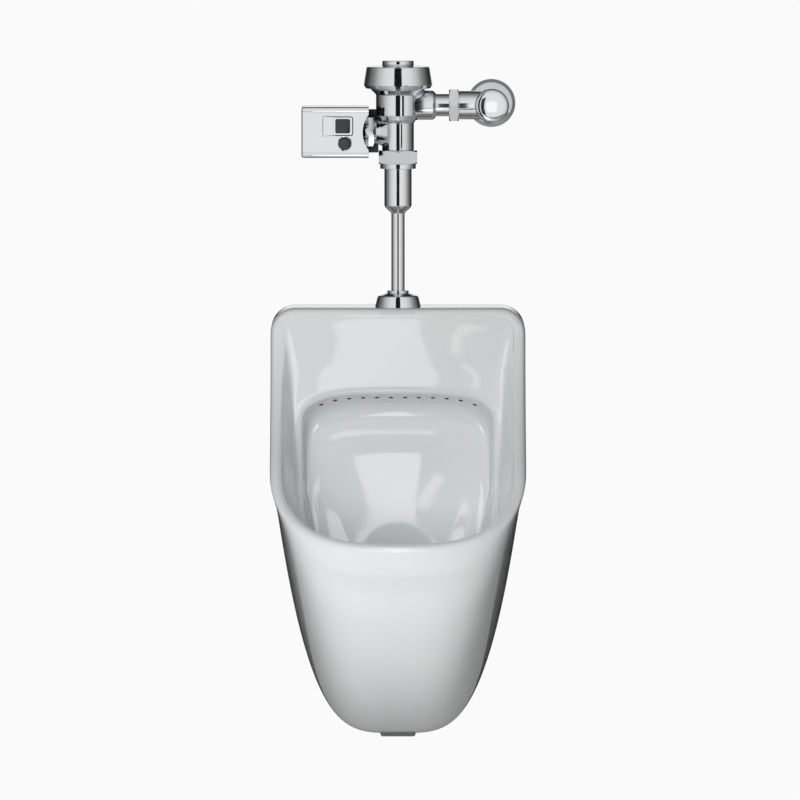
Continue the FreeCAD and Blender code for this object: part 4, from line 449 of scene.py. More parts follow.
def rounded_profile(profile):
    """(radius, length) corners, where a corner with a third value is rounded to that radius."""
    points = [Vector(corner[:2]) for corner in profile]
    result = []
    for i, corner in enumerate(profile):
        if len(corner) < 3:
            result.append(points[i])
            continue
        before = points[i - 1] - points[i]
        after = points[(i + 1) % len(points)] - points[i]
        opening = before.angle(after)
        room = min(before.length * FILLET_LIMIT, after.length * FILLET_LIMIT)
        reach = min(corner[2] / math.tan(opening / 2.0), room)
        start = points[i] + before.normalized() * reach
        end = points[i] + after.normalized() * reach
        result.append(start + before.normalized() * reach * FILLET_LEAD)
        for step in range(FILLET_STEPS + 1):
            share = step / FILLET_STEPS
            result.append(start.lerp(points[i], share).lerp(points[i].lerp(end, share), share))
        result.append(end + after.normalized() * reach * FILLET_LEAD)
    return result


UP = Matrix(((1, 0, 0), (0, 1, 0), (0, 0, 1)))
RIGHT = Matrix(((0, 0, 1), (0, 1, 0), (-1, 0, 0)))
LEFT = Matrix(((0, 0, -1), (0, 1, 0), (1, 0, 0)))
OUT = Matrix(((1, 0, 0), (0, 0, -1), (0, 1, 0)))
TURNED_STEPS = 128


def turned_mesh(name, profile, centre, facing=UP):
    """A lathe shape: a closed outline of (radius, length) corners spun about an axis through the centre."""
    turns = [2.0 * math.pi * i / TURNED_STEPS for i in range(TURNED_STEPS)]
    rings = []
    for radius, length in rounded_profile(profile):
        rings.append([
            Vector(centre) + facing @ Vector((radius * math.cos(turn), radius * math.sin(turn), length))
            for turn in turns])
    return tidied(ringed_mesh(name, rings + rings[:1], capped=False))


def joined_mesh(name, *meshes):
    """Several meshes as one, each keeping its own closed skin."""
    work = bmesh.new()
    for mesh in meshes:
        work.from_mesh(mesh)
    whole = bpy.data.meshes.new(name)
    work.to_mesh(whole)
    work.free()
    whole.shade_smooth()
    whole.set_sharp_from_angle(angle=math.radians(SHARP_DEGREES))
    return whole


TRAP_BORE = 20 * MM
OUTLET_BOSS_RADIUS = 54 * MM
OUTLET_BOSS_END = 40 * MM
TRAP_FOOT_HALF = 28.5 * MM
TRAP_FOOT_LOW = -117 * MM
TRAP_FOOT_TOP = -104 * MM
TRAP_FOOT_MIDDLE = 52 * MM
TRAP_FOOT_HALF_REACH = 30 * MM
TRAP_FOOT_ROUND = 2 * MM
TRAP_FOOT_DRAFT = 4.5 * MM
outlet_boss = turned_mesh("outlet_boss", [
    (TRAP_BORE, OUTLET_SEAT), (OUTLET_BOSS_RADIUS, OUTLET_SEAT, 1 * MM),
    (OUTLET_BOSS_RADIUS, OUTLET_BOSS_END), (TRAP_BORE, OUTLET_BOSS_END),
], (0, 0, 0), OUT)


def soft_block(name, low, high, rounding, draft):
    """A moulded block with rounded edges, a little narrower at its foot."""
    work = bmesh.new()
    bmesh.ops.create_cube(work, size=1.0)
    for vert in work.verts:
        shares = [part + 0.5 for part in vert.co]
        vert.co = Vector([mix(start, end, share) for start, end, share in zip(low, high, shares)])
        if shares[2] < 0.5:
            vert.co.x -= math.copysign(draft, vert.co.x)
    bmesh.ops.bevel(work, geom=work.edges[:], offset=rounding, segments=4, profile=0.5, affect="EDGES")
    mesh = bpy.data.meshes.new(name)
    work.to_mesh(mesh)
    work.free()
    return tidied(mesh)


trap_foot = soft_block(
    "trap_foot", (-TRAP_FOOT_HALF, -TRAP_FOOT_MIDDLE - TRAP_FOOT_HALF_REACH, TRAP_FOOT_LOW),
    (TRAP_FOOT_HALF, -TRAP_FOOT_MIDDLE + TRAP_FOOT_HALF_REACH, TRAP_FOOT_TOP),
    TRAP_FOOT_ROUND, TRAP_FOOT_DRAFT)
# The foot stands on the kiln shelf and stays unglazed; its grey is darkened with painted shade from the belly
# above: kiln clay is the china's second material
for face in trap_foot.polygons:
    face.material_index = 1
china.data = joined_mesh("china_body", tidied(china.data), outlet_boss, trap_foot)


def srgb(code):
    """A linear colour from an sRGB hex code such as e6e8e9."""
    parts = [int(code[i:i + 2], 16) / 255.0 for i in (0, 2, 4)]
    linear = [part / 12.92 if part <= 0.04045 else ((part + 0.055) / 1.055) ** 2.4 for part in parts]
    return (*linear, 1.0)


def add_node(tree, kind, sockets=None, **settings):
    """One node with its settings; a socket takes a value, or another node's output."""
    made = tree.nodes.new(kind)
    for name, value in settings.items():
        setattr(made, name, value)
    for name, value in (sockets or {}).items():
        if isinstance(value, bpy.types.NodeSocket):
            tree.links.new(value, made.inputs[name])
        else:
            made.inputs[name].default_value = value
    return made


def new_material(name):
    """An empty material with its shader, output and Object coordinates ready."""
    material = bpy.data.materials.new(name)
    material.use_nodes = True
    tree = material.node_tree
    tree.nodes.clear()
    output = add_node(tree, "ShaderNodeOutputMaterial")
    shader = add_node(tree, "ShaderNodeBsdfPrincipled")
    tree.links.new(shader.outputs["BSDF"], output.inputs["Surface"])
    place = add_node(tree, "ShaderNodeTexCoord").outputs["Object"]
    return material, tree, shader, place


def grained_colour(tree, shader, place, size, dark, pale, detail=3.0):
    """Mixes two colours by a noise of the given size into the base colour, and gives back the noise."""
    grain = add_node(tree, "ShaderNodeTexNoise", {"Vector": place, "Scale": 1 / size, "Detail": detail})
    blend = add_node(tree, "ShaderNodeMix", {
        "Factor": grain.outputs["Fac"], "A": srgb(dark), "B": srgb(pale)}, data_type="RGBA")
    tree.links.new(blend.outputs["Result"], shader.inputs["Base Color"])
    return grain.outputs["Fac"]


# Glazed vitreous china: a fired clear glaze over white clay. The eye sees a wet gloss whose reflections
# waver a little, and a white that is faintly uneven where the glaze ran thicker.
glazed_china, tree, shader, place = new_material("glazed_vitreous_china")
grained_colour(tree, shader, place, 140 * MM, "dfe2e3", "e6e8e8")
ripple = add_node(tree, "ShaderNodeTexNoise", {"Vector": place, "Scale": 1 / (45 * MM), "Detail": 1.0})
waver = add_node(tree, "ShaderNodeBump", {
    "Height": ripple.outputs["Fac"], "Strength": 0.05, "Distance": 2 * MM})
tree.links.new(waver.outputs["Normal"], shader.inputs["Normal"])
shader.inputs["Roughness"].default_value = 0.05
shader.inputs["IOR"].default_value = 1.5
shader.inputs["Coat Weight"].default_value = 0.5
shader.inputs["Coat Roughness"].default_value = 0.04
china.data.materials.append(glazed_china)


# Drain and spray holes of the china
# The sump is recessed for the strainer and opens into the trap; twelve rinse holes are drilled through
# the underside of the ledge before firing, so their bores show bare clay in shade.

STRAINER_SEAT = 6 * MM
STRAINER_RECESS_RADIUS = 30.3 * MM
TRAP_DEPTH = 60 * MM
drain_recess = new_piece(turned_mesh("drain_recess", [
    (0, -TRAP_DEPTH), (TRAP_BORE, -TRAP_DEPTH), (TRAP_BORE, STRAINER_SEAT),
    (STRAINER_RECESS_RADIUS, STRAINER_SEAT), (STRAINER_RECESS_RADIUS, SUMP_HEIGHT + 2 * MM),
    (0, SUMP_HEIGHT + 2 * MM),
], (0, -DRAIN_REACH, 0)), glazed_china)


def clay_finish(name, dark, pale, rough):
    """Fired clay without glaze: matt, with a fine grain between two greys."""
    material, tree, shader, place = new_material(name)
    grained_colour(tree, shader, place, 2 * MM, dark, pale, 2.0)
    shader.inputs["Roughness"].default_value = rough
    return material


# The bores' clay is dark with painted shade where no light gets in; the foot's clay stood on the kiln shelf,
# unglazed, and its grey holds painted shade from the belly above
bore_clay_painted_shade = clay_finish("bare_clay_in_shade", "3a3a38", "50504c", 0.95)
foot_clay_painted_shade = clay_finish("unglazed_clay_painted_shade", "7a7c7a", "8a8c8a", 0.9)

SPRAY_COUNT = 12
SPRAY_PITCH = 20 * MM
SPRAY_RADIUS = 3.3 * MM
SPRAY_DEPTH = 16 * MM
ledge_run = LEDGE_DEPTH - RECESS_EDGE_ROUND
ledge_drop = LEDGE_FALL - RECESS_EDGE_ROUND
hole_lean = math.atan2(ledge_drop, ledge_run)
arch_half = RECESS_HALF_WIDTH - RECESS_EDGE_ROUND
arch_rise = RECESS_SIDE_DROP - RECESS_TOP_DROP
hole_points = []
for i in range(SPRAY_COUNT):
    across = (i - (SPRAY_COUNT - 1) / 2) * SPRAY_PITCH
    arch = arch_rise * (1.0 - power(1.0 - (abs(across) / arch_half) ** ARCH_POWER, 1.0 / ARCH_POWER))
    reach = PANEL_REACH - PANEL_SETBACK - RECESS_EDGE_ROUND - ledge_run / 2
    height = CHINA_TOP - RECESS_TOP_DROP - RECESS_EDGE_ROUND - ledge_drop / 2 - arch
    hole_points.append((across, -reach, height))


def bores_on(name, points, material, values):
    """Geometry Nodes: a leaning round bore on every point, sized by named inputs, as one plain mesh."""
    seeds = bpy.data.meshes.new(name)
    seeds.from_pydata(points, [], [])
    holder = new_piece(seeds)
    tree = bpy.data.node_groups.new(name, "GeometryNodeTree")
    tree.interface.new_socket("Points", in_out="INPUT", socket_type="NodeSocketGeometry")
    tree.interface.new_socket("Pieces", in_out="OUTPUT", socket_type="NodeSocketGeometry")
    entry = add_node(tree, "NodeGroupInput")
    for label in values:
        tree.interface.new_socket(label, in_out="INPUT", socket_type="NodeSocketFloat")
    bore = add_node(tree, "GeometryNodeMeshCylinder", {
        "Vertices": 24, "Radius": entry.outputs["Hole radius"], "Depth": entry.outputs["Hole depth"]})
    lean = add_node(tree, "ShaderNodeCombineXYZ", {"X": entry.outputs["Lean"]})
    tipped = add_node(tree, "GeometryNodeTransform", {
        "Geometry": bore.outputs["Mesh"], "Rotation": lean.outputs[0]})
    spread = add_node(tree, "GeometryNodeInstanceOnPoints", {
        "Points": entry.outputs["Points"], "Instance": tipped.outputs["Geometry"]})
    real = add_node(tree, "GeometryNodeRealizeInstances", {"Geometry": spread.outputs["Instances"]})
    painted = add_node(tree, "GeometryNodeSetMaterial", {
        "Geometry": real.outputs["Geometry"], "Material": material})
    add_node(tree, "NodeGroupOutput", {"Pieces": painted.outputs["Geometry"]})
    change = holder.modifiers.new(name, "NODES")
    change.node_group = tree
    for item in tree.interface.items_tree:
        if item.name in values:
            change[item.identifier] = values[item.name]
    holder.update_tag()
    mesh = bpy.data.meshes.new_from_object(holder.evaluated_get(bpy.context.evaluated_depsgraph_get()))
    mesh.name = name
    bpy.data.objects.remove(holder)
    return mesh


bore_sizes = {"Hole radius": SPRAY_RADIUS, "Hole depth": SPRAY_DEPTH, "Lean": -hole_lean}
spray_bores = new_piece(bores_on("spray_bores", hole_points, bore_clay_painted_shade, bore_sizes))
# The foot's unglazed clay, with its painted shade, goes in as the china's second material
china.data.materials.append(foot_clay_painted_shade)
cut_away(china, [drain_recess, spray_bores], overlapping=True)
tidied(china.data)
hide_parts("china_bowl")
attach(china, "fixed")


# Finishes of the fittings
# Every CAD piece takes the finish of its slot in the record: chromed, brass, steel, rubber and plastics.
# They are simple shop finishes, and most of these pieces are hidden behind chrome.

def shop_finish(name, dark, pale, grain_size, rough, metal, bump=0.0):
    """A finish whose colour and roughness vary a little with a fine noise."""
    material, tree, shader, place = new_material(name)
    grain = grained_colour(tree, shader, place, grain_size, dark, pale)
    spread = add_node(tree, "ShaderNodeMapRange", {
        "Value": grain, "To Min": rough * 0.85, "To Max": rough * 1.15})
    tree.links.new(spread.outputs["Result"], shader.inputs["Roughness"])
    shader.inputs["Metallic"].default_value = metal
    if bump:
        relief = add_node(tree, "ShaderNodeBump", {"Height": grain, "Strength": bump, "Distance": 0.2 * MM})
        tree.links.new(relief.outputs["Normal"], shader.inputs["Normal"])
    return material


# Chrome gives hard bright and dark bands; brass and steel are softer; rubber and plastics are matt.
finishes = {
    "chrome": shop_finish("polished_chrome_plate", "e0e2e3", "e6e8e9", 30 * MM, 0.09, 1.0),
    "brass": shop_finish("machined_brass", "b08d45", "c4a35c", 3 * MM, 0.32, 1.0),
    "steel": shop_finish("zinc_plated_steel", "94979a", "a9acae", 2 * MM, 0.38, 1.0),
    "iron": shop_finish("painted_cast_iron", "3a3b3c", "4a4b4c", 2 * MM, 0.6, 0.3, 0.4),
    "rubber": shop_finish("moulded_black_rubber", "141414", "1d1d1d", 1.5 * MM, 0.75, 0.0, 0.2),
    "dark_plastic": shop_finish("moulded_dark_plastic", "3c3d3f", "47484a", 0.8 * MM, 0.5, 0.0, 0.15),
    "pale_plastic": shop_finish("moulded_pale_plastic", "d6d5cf", "dfded8", 2 * MM, 0.45, 0.0),
    "lens": shop_finish("smoked_infrared_window", "2a2a2c", "343436", 6 * MM, 0.22, 0.0),
    "board": shop_finish("green_solder_mask", "1c5a2c", "246a35", 1.2 * MM, 0.4, 0.0),
    "diode": shop_finish("tinted_diode_resin", "4a4a55", "5a5a66", 2 * MM, 0.15, 0.0),
    "cell": shop_finish("plain_battery_jacket", "33383f", "3d434b", 4 * MM, 0.35, 0.2),
    "motor": shop_finish("plated_motor_can", "86888a", "999b9d", 2 * MM, 0.35, 1.0),
}
for entry in frame["record"]["subparts"]:
    if entry["material_slot"] in finishes:
        skin = frame["nodes"][entry["node"]].data
        skin.materials.clear()
        skin.materials.append(finishes[entry["material_slot"]])


def stands_for(piece, node, body):
    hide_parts(node)
    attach(piece, body)


def dressed(mesh, node, body="fixed", slot="chrome"):
    """A new piece in its slot's finish that stands for its CAD node."""
    piece = new_piece(mesh, finishes[slot])
    stands_for(piece, node, body)
    return piece


def millimetre_turned(name, profile, centre, facing=UP):
    """A lathe shape whose corners and centre are given in millimetres."""
    corners = [tuple(value * MM for value in corner) for corner in profile]
    return turned_mesh(name, corners, [value * MM for value in centre], facing)


def turned_piece(node, profile, centre, facing=UP, body="fixed", slot="chrome"):
    """A lathe-turned piece in millimetres that stands for its CAD node."""
    dressed(millimetre_turned(node + "_skin", profile, centre, facing), node, body, slot)


# Spud flange
# A spun brass cone over the spud's nut, chromed, with a domed shoulder and a small collar at the tube.
# It drops over the flush tube and rests on the china.

VALVE_REACH = 75
SPUD_FOOT = (0, -VALVE_REACH, 500)
turned_piece("spud_flange", [
    (31.5, 0), (33, 0), (29, 15.8, 3.5), (17.2, 19.6, 2.0), (15.3, 20.4, 0.6), (15.3, 23.7, 2.2),
    (9.7, 23.7), (9.7, 18.2), (16, 17.6), (26.5, 14.5), (31.5, 0.2),
], SPUD_FOOT)


# Flush tube
# One drawn brass tube, chromed: wide above for the vacuum breaker, necked down to the spud.
# Its flared top is held up to the valve by the outlet coupling nut.

SUPPLY = (0, -VALVE_REACH, 789)
turned_piece("flush_tube", [
    (8.6, -297), (9.525, -297), (9.525, -154.5, 3), (17.2, -147.5, 2), (19.5, -144, 2.5), (19.5, -88),
    (21, -88), (21, -86), (18.6, -86), (18.6, -145), (16.6, -147), (8.6, -153),
], SUPPLY)


# Outlet coupling nut
# A turned brass hexagon with chamfered corners above a plain round skirt, chromed.
# One corner faces the user; it draws the tube's flare up to the valve's nipple.

NUT_COLUMNS = 20
NUT_RINGS = 7
NUT_CONE_START = 0.985
NUT_CHAMFER = 0.6
NUT_SHARP_DEGREES = 18.0
QUARTER = math.radians(90.0)


def hexagon_nut_mesh(name, flats, inner, low, high, centre, facing):
    """A hexagon nut whose end chamfer leaves the curved arcs that turning gives each flat."""
    rings = [[] for _ in range(NUT_RINGS)]
    cone = flats / 2 * NUT_CONE_START
    for i in range(6 * NUT_COLUMNS):
        turn = math.radians(360.0 * i / (6 * NUT_COLUMNS))
        within = (turn % math.radians(60.0)) - math.radians(30.0)
        wide = flats / 2 / math.cos(within)
        fall = (wide - cone) * NUT_CHAMFER
        spots = (
            (inner, low), (cone, low), (wide, low + fall), (wide, high - fall), (cone, high), (inner, high),
            (inner, low))
        for ring, (radius, length) in zip(rings, spots):
            angle = turn + QUARTER
            spot = Vector((radius * math.cos(angle), radius * math.sin(angle), length))
            ring.append((Vector(centre) + facing @ spot) * MM)
    return tidied(ringed_mesh(name, rings, capped=False), NUT_SHARP_DEGREES)


outlet_nut = joined_mesh(
    "outlet_coupling_nut_skin",
    hexagon_nut_mesh("outlet_hexagon", 55, 21.1, -84, -64.5, SUPPLY, UP),
    millimetre_turned("outlet_skirt", [
        (19.6, -91), (25.5, -91, 0.8), (25.5, -83.5), (21.1, -83.5), (21.1, -88), (19.6, -88)], SUPPLY),
)
outlet_nut.set_sharp_from_angle(angle=math.radians(NUT_SHARP_DEGREES))
dressed(outlet_nut, "outlet_coupling_nut")


# Valve body and outside cover
# A chromed brass casting: barrel below, round bowl, a flared neck, the inlet boss to the right and the
# handle boss to the left. The outside cover screws down over the neck and clamps the diaphragm.

PLUNGER = (0, -VALVE_REACH, 751)
valve_skin = joined_mesh(
    "valve_body_skin",
    millimetre_turned("valve_bowl", [
        (14, -79), (21, -79), (21, -64.5), (22.7, -64.5, 0.8), (22.7, -25.5, 2.5), (25.4, -21.6, 1.5),
        (27.2, -21.6, 1.2), (31.4, -14.5, 3), (31.4, 15, 4), (38.5, 22, 3), (40, 26, 1), (40, 32), (31, 32),
        (27, 28), (27, -11), (17, -11), (17, 28), (14, 28),
    ], SUPPLY),
    millimetre_turned("inlet_boss", [
        (10, 24), (21, 24), (21, 50, 1.2), (17.6, 54, 0.8), (16.1, 54), (16.1, 36), (10, 36),
    ], SUPPLY, RIGHT),
    millimetre_turned("handle_boss", [
        (9.1, 15), (24.5, 15), (19.5, 25, 2), (17, 31, 1.5), (17, 40), (9.1, 40),
    ], PLUNGER, LEFT),
)
dressed(valve_skin, "valve_body")
turned_piece("outside_cover", [
    (40.3, 24), (46, 24, 1.2), (49, 29, 2), (45, 55.1, 1.8), (23.6, 57, 0.8), (22.5, 59, 1),
    (22.5, 63.7, 1.4), (0, 63.7), (0, 60.7), (20.2, 60.7), (20.2, 50), (42, 50), (40.3, 34),
], SUPPLY)


# Inlet tailpiece with its nut, control stop, stop cap and supply flange
# Chromed brass: the tailpiece slides into the stop's side and its hexagon nut squeezes a ring round it.
# The domed stop cap turns freely over the bonnet; a sleeve and flange cover the supply at the wall.

STOP = (134, 0, 789)
turned_piece("tailpiece", [(12, 36.3), (16, 36.3), (16, 104.3), (12, 104.3)], SUPPLY, RIGHT)
dressed(hexagon_nut_mesh("tailpiece_nut_skin", 45, 16.2, 73, 87, SUPPLY, RIGHT), "tailpiece_nut")
stop_skin = joined_mesh(
    "stop_body_skin",
    millimetre_turned("stop_barrel", [
        (11.2, 40), (19, 40, 1), (22, 46, 2), (22, 96, 0.8), (18.6, 96), (18.6, 86), (16, 86), (16, 67),
        (9.5, 67), (9.5, 60), (11.2, 60),
    ], STOP, OUT),
    millimetre_turned("stop_side_tube", [
        (16.2, 78), (19.3, 78), (19.3, 88), (20.4, 88, 0.6), (20.4, 126), (9.5, 126), (9.5, 105), (16.2, 105),
    ], SUPPLY, RIGHT),
)
stop = new_piece(stop_skin, finishes["chrome"])
stop_chamber = new_piece(
    millimetre_turned("stop_chamber", [(0, 67.1), (16, 67.1), (16, 95.9), (0, 95.9)], STOP, OUT),
    finishes["chrome"])
cut_away(stop, [stop_chamber], overlapping=True)
tidied(stop.data)
stands_for(stop, "stop_body", "fixed")
DOME_STEPS = 12
DOME_POWER = 2 / 3
DOME_FOOT = 106


def dome(radius, rise):
    """The points of a squarish dome between its foot and its top, as (radius, length)."""
    turns = [math.radians(90.0 * i / DOME_STEPS) for i in range(1, DOME_STEPS)]
    return [
        (radius * math.cos(turn) ** DOME_POWER, DOME_FOOT + rise * math.sin(turn) ** DOME_POWER)
        for turn in turns]


turned_piece("stop_cap", [
    (22.6, 96), (24.5, 96, 0.5), (24.5, DOME_FOOT), *dome(24.5, 10), (0, 116), (0, 114.1),
    *reversed(dome(22.6, 8.1)), (22.6, DOME_FOOT),
], STOP, OUT, body="cap")
turned_piece("supply_sleeve", [(15.5, 2.5), (17, 2.5), (17, 40), (15.5, 40)], STOP, OUT)
turned_piece("wall_flange", [
    (17.2, 0), (34.5, 0, 0.4), (34.5, 1.4, 0.8), (30, 7, 5), (21.5, 12, 3), (17.2, 13)], STOP, OUT)


# Sensor operator: coupling nut, cover, window and override button
# A die-cast cover, chromed, with rolled long edges and an end scooped to clear the valve. A sloped dish
# holds the smoked window, a shallow scoop holds the dark plastic override button.

dressed(
    hexagon_nut_mesh("operator_coupling_nut_skin", 41, 9.4, 34, 48, PLUNGER, LEFT), "operator_coupling_nut")

COVER_LEFT = -138
COVER_RIGHT = -42
COVER_DEPTH = 66
COVER_HEIGHT = 73
COVER_ROLL = 9.5
COVER_BEAD = 4.75
COVER_STEP = 1.0
COVER_END_ROUND = 3.5
COVER_END_STEPS = 6
COVER_CORNER_STEPS = 16
COVER_LEAST_BEAD = 1.5
COVER_LEAST_ROLL = 2.0
COVER_STATIONS = (-120, -100, -80, -60)
COVER_SKIN = 2
COVER_FRONT = VALVE_REACH + COVER_DEPTH / 2


def rounded_section(across, inset):
    """A ring of the cover at one place along it, drawn in by the inset."""
    deep = COVER_DEPTH / 2 - inset
    tall = COVER_HEIGHT / 2 - inset
    bead = max(COVER_BEAD - inset, COVER_LEAST_BEAD)
    lean = math.acos((bead - COVER_STEP) / bead)
    corner = max(COVER_ROLL - inset, COVER_LEAST_ROLL)
    arcs = (
        (1, 1, bead, -lean, QUARTER), (-1, 1, corner, QUARTER, 2 * QUARTER),
        (-1, -1, corner, 2 * QUARTER, 3 * QUARTER), (1, -1, bead, 3 * QUARTER, 4 * QUARTER + lean))
    ring = []
    for side, up, radius, first, last in arcs:
        for i in range(COVER_CORNER_STEPS + 1):
            turn = first + (last - first) * i / COVER_CORNER_STEPS
            out = side * (deep - radius) + radius * math.cos(turn)
            height = up * (tall - radius) + radius * math.sin(turn)
            ring.append(Vector((across, PLUNGER[1] - out, PLUNGER[2] + height)) * MM)
    return ring


end_turns = [math.radians(90.0 * i / COVER_END_STEPS) for i in range(COVER_END_STEPS + 1)]
cover_rings = []
for turn in reversed(end_turns):
    end_place = COVER_LEFT + COVER_END_ROUND * (1 - math.sin(turn))
    cover_rings.append(rounded_section(end_place, COVER_END_ROUND * (1 - math.cos(turn))))
cover_rings += [rounded_section(across, 0) for across in (*COVER_STATIONS, COVER_RIGHT)]
inner_stations = (COVER_RIGHT, *reversed(COVER_STATIONS), COVER_LEFT + COVER_SKIN)
cover_rings += [rounded_section(across, COVER_SKIN) for across in inner_stations]
cover = new_piece(tidied(ringed_mesh("sensor_cover_skin", cover_rings)), finishes["chrome"])

WINDOW = (-79, 760)
DISH_HALF_WIDTH = 15
DISH_HALF_HEIGHT = 14
DISH_CORNER = 3.5
DISH_RAMP = 13
DISH_DEPTH = 2.6
DISH_SLOPE = 1.4
RAMP_EDGE = 0.8
WINDOW_HALF_WIDTH = 10.6
WINDOW_HALF_HEIGHT = 10.3
WINDOW_CORNER = 2.6
RECTANGLE_CORNER_STEPS = 8
BUTTON = (-76, 735)


def rounded_rectangle(half_width, half_height, corner, centre):
    """A closed (across, height) outline in the frame, from sizes in millimetres."""
    loop = []
    for quarter, (side, up) in enumerate(((1, 1), (-1, 1), (-1, -1), (1, -1))):
        for i in range(RECTANGLE_CORNER_STEPS + 1):
            turn = math.radians(90.0 * (quarter + i / RECTANGLE_CORNER_STEPS))
            loop.append((
                (centre[0] + side * (half_width - corner) + corner * math.cos(turn)) * MM,
                (centre[1] + up * (half_height - corner) + corner * math.sin(turn)) * MM))
    return loop


dish_levels = ((COVER_FRONT - DISH_DEPTH, -DISH_SLOPE), (COVER_FRONT - COVER_STEP, 0), (COVER_FRONT + 1, 2))
dish_rings = []
for reach, spread in dish_levels:
    loop = rounded_rectangle(
        DISH_HALF_WIDTH + spread, DISH_HALF_HEIGHT + spread, DISH_CORNER + spread, WINDOW)
    dish_rings.append([Vector((across, -reach * MM, height)) for across, height in loop])
dish = new_piece(tidied(ringed_mesh("window_dish", dish_rings)))
ramp_right = WINDOW[0] - DISH_HALF_WIDTH + 4
ramp_left = WINDOW[0] - DISH_HALF_WIDTH - DISH_RAMP
ramp_corners = (
    (ramp_left, COVER_FRONT - COVER_STEP - RAMP_EDGE, 0), (ramp_right, COVER_FRONT - DISH_DEPTH, -DISH_SLOPE),
    (ramp_right, COVER_FRONT + 1, 2), (ramp_left - COVER_STEP - RAMP_EDGE - 1, COVER_FRONT + 1, 2))
ramp_rings = []
for up in (-1, 1):
    ramp_rings.append([
        Vector((across, -reach, WINDOW[1] + up * (DISH_HALF_HEIGHT + spread))) * MM
        for across, reach, spread in ramp_corners])
ramp = new_piece(tidied(ringed_mesh("window_ramp", ramp_rings)))
button_scoop = new_piece(millimetre_turned("button_scoop", [
    (0, COVER_FRONT - 4), (7.8, COVER_FRONT - 4), (7.8, COVER_FRONT - 2.9), (12.9, COVER_FRONT + 0.2),
    (0, COVER_FRONT + 1),
], (BUTTON[0], 0, BUTTON[1]), OUT))
end_scoop = new_piece(millimetre_turned("end_scoop", [
    (0, COVER_FRONT - COVER_DEPTH - 2), (42, COVER_FRONT - COVER_DEPTH - 2), (42, COVER_FRONT + 2),
    (0, COVER_FRONT + 2),
], (-8.5, 0, PLUNGER[2]), OUT))
for tool in (dish, ramp, button_scoop, end_scoop):
    tool.data.materials.append(finishes["chrome"])
cut_away(cover, [dish, ramp, button_scoop, end_scoop])
tidied(cover.data, 25.0)
stands_for(cover, "sensor_cover", "fixed")

window_rings = []
for reach, inset in ((COVER_FRONT - 2.4, 0), (COVER_FRONT - 1.2, 0), (COVER_FRONT - 0.9, 0.4)):
    loop = rounded_rectangle(WINDOW_HALF_WIDTH - inset, WINDOW_HALF_HEIGHT - inset, WINDOW_CORNER, WINDOW)
    window_rings.append([(across, -reach * MM, height) for across, height in loop])
dressed(tidied(ringed_mesh("sensor_window_skin", window_rings)), "sensor_window", slot="lens")
turned_piece("override_button", [
    (0, 26.1), (3, 26.1), (3, 28.5), (9, 28.5), (9, 29.8), (7.3, 29.8), (7.3, 32.4, 1.6), (3.5, 33.4, 3),
    (0, 33.4),
], (BUTTON[0], -VALVE_REACH, BUTTON[1]), OUT, body="button", slot="dark_plastic")


# Return springs of the plunger and the override button
# Coils of zinc-plated steel wire: one between the bushing and the plunger's collar, one between the
# circuit board and the button's flange.

COIL_STEPS = 24
WIRE_STEPS = 8


def coil_mesh(name, radius, wire, length, turns, foot, facing):
    """A helix of round wire in millimetres, standing on its foot."""
    side = Vector((0, 0, 1))
    aside = facing.cross(side)
    rings = []
    for step in range(turns * COIL_STEPS + 1):
        share = step / (turns * COIL_STEPS)
        swing = 2 * math.pi * turns * share
        out = side * math.cos(swing) + aside * math.sin(swing)
        middle = Vector(foot) + facing * (wire + (length - 2 * wire) * share) + out * radius
        bends = [2 * math.pi * i / WIRE_STEPS for i in range(WIRE_STEPS)]
        rings.append([
            (middle + (out * math.cos(bend) + facing * math.sin(bend)) * wire) * MM for bend in bends])
    return tidied(ringed_mesh(name, rings))


plunger_coil = dressed(
    coil_mesh("plunger_spring_coil", 6.6, 0.5, 12, 5, (-56, -VALVE_REACH, 751), Vector((-1, 0, 0))),
    "plunger_spring", slot="steel")
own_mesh(plunger_coil)
button_coil = dressed(
    coil_mesh("button_spring_coil", 4.45, 0.3, 5.9, 4, (BUTTON[0], -97.6, BUTTON[1]), Vector((0, -1, 0))),
    "button_spring", slot="steel")
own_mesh(button_coil)


# Floor, light and camera
# A matt studio floor below the hung part, three soft boxes, and a studio gradient with dark and bright cards
# that only reflections see, so that the chrome shows the bands and the glaze the windows of the photograph.

FLOOR_HEIGHT = -446 * MM
FLOOR_RADIUS = 2500 * MM
FLOOR_STEPS = 96
floor_paint, tree, shader, place = new_material("matt_white_floor_paint")
shader.inputs["Base Color"].default_value = srgb("f0f0f0")
shader.inputs["Roughness"].default_value = 0.9
# A little glow stands for the rest of the bright room and keeps the floor from going dark
shader.inputs["Emission Color"].default_value = srgb("ffffff")
shader.inputs["Emission Strength"].default_value = 0.13
floor_mesh = bpy.data.meshes.new("studio_floor")
floor_turns = [2.0 * math.pi * i / FLOOR_STEPS for i in range(FLOOR_STEPS)]
floor_points = [
    (FLOOR_RADIUS * math.cos(turn), FLOOR_RADIUS * math.sin(turn), FLOOR_HEIGHT) for turn in floor_turns]
floor_mesh.from_pydata(floor_points, [], [tuple(range(len(floor_points)))])
floor = new_piece(floor_mesh, floor_paint)

scene = bpy.context.scene
scene.view_settings.view_transform = "Standard"
world = bpy.data.worlds.new("studio_white")
scene.world = world
world.use_nodes = True
tree = world.node_tree
tree.nodes.clear()
rays = add_node(tree, "ShaderNodeLightPath")
seen = add_node(
    tree, "ShaderNodeMath", {0: rays.outputs["Is Camera Ray"], 1: rays.outputs["Is Transmission Ray"]},
    operation="MAXIMUM")
paper = add_node(tree, "ShaderNodeBackground", {"Color": srgb("fafafa"), "Strength": 1.0})
fill = add_node(tree, "ShaderNodeBackground", {"Color": srgb("ffffff"), "Strength": 0.07})
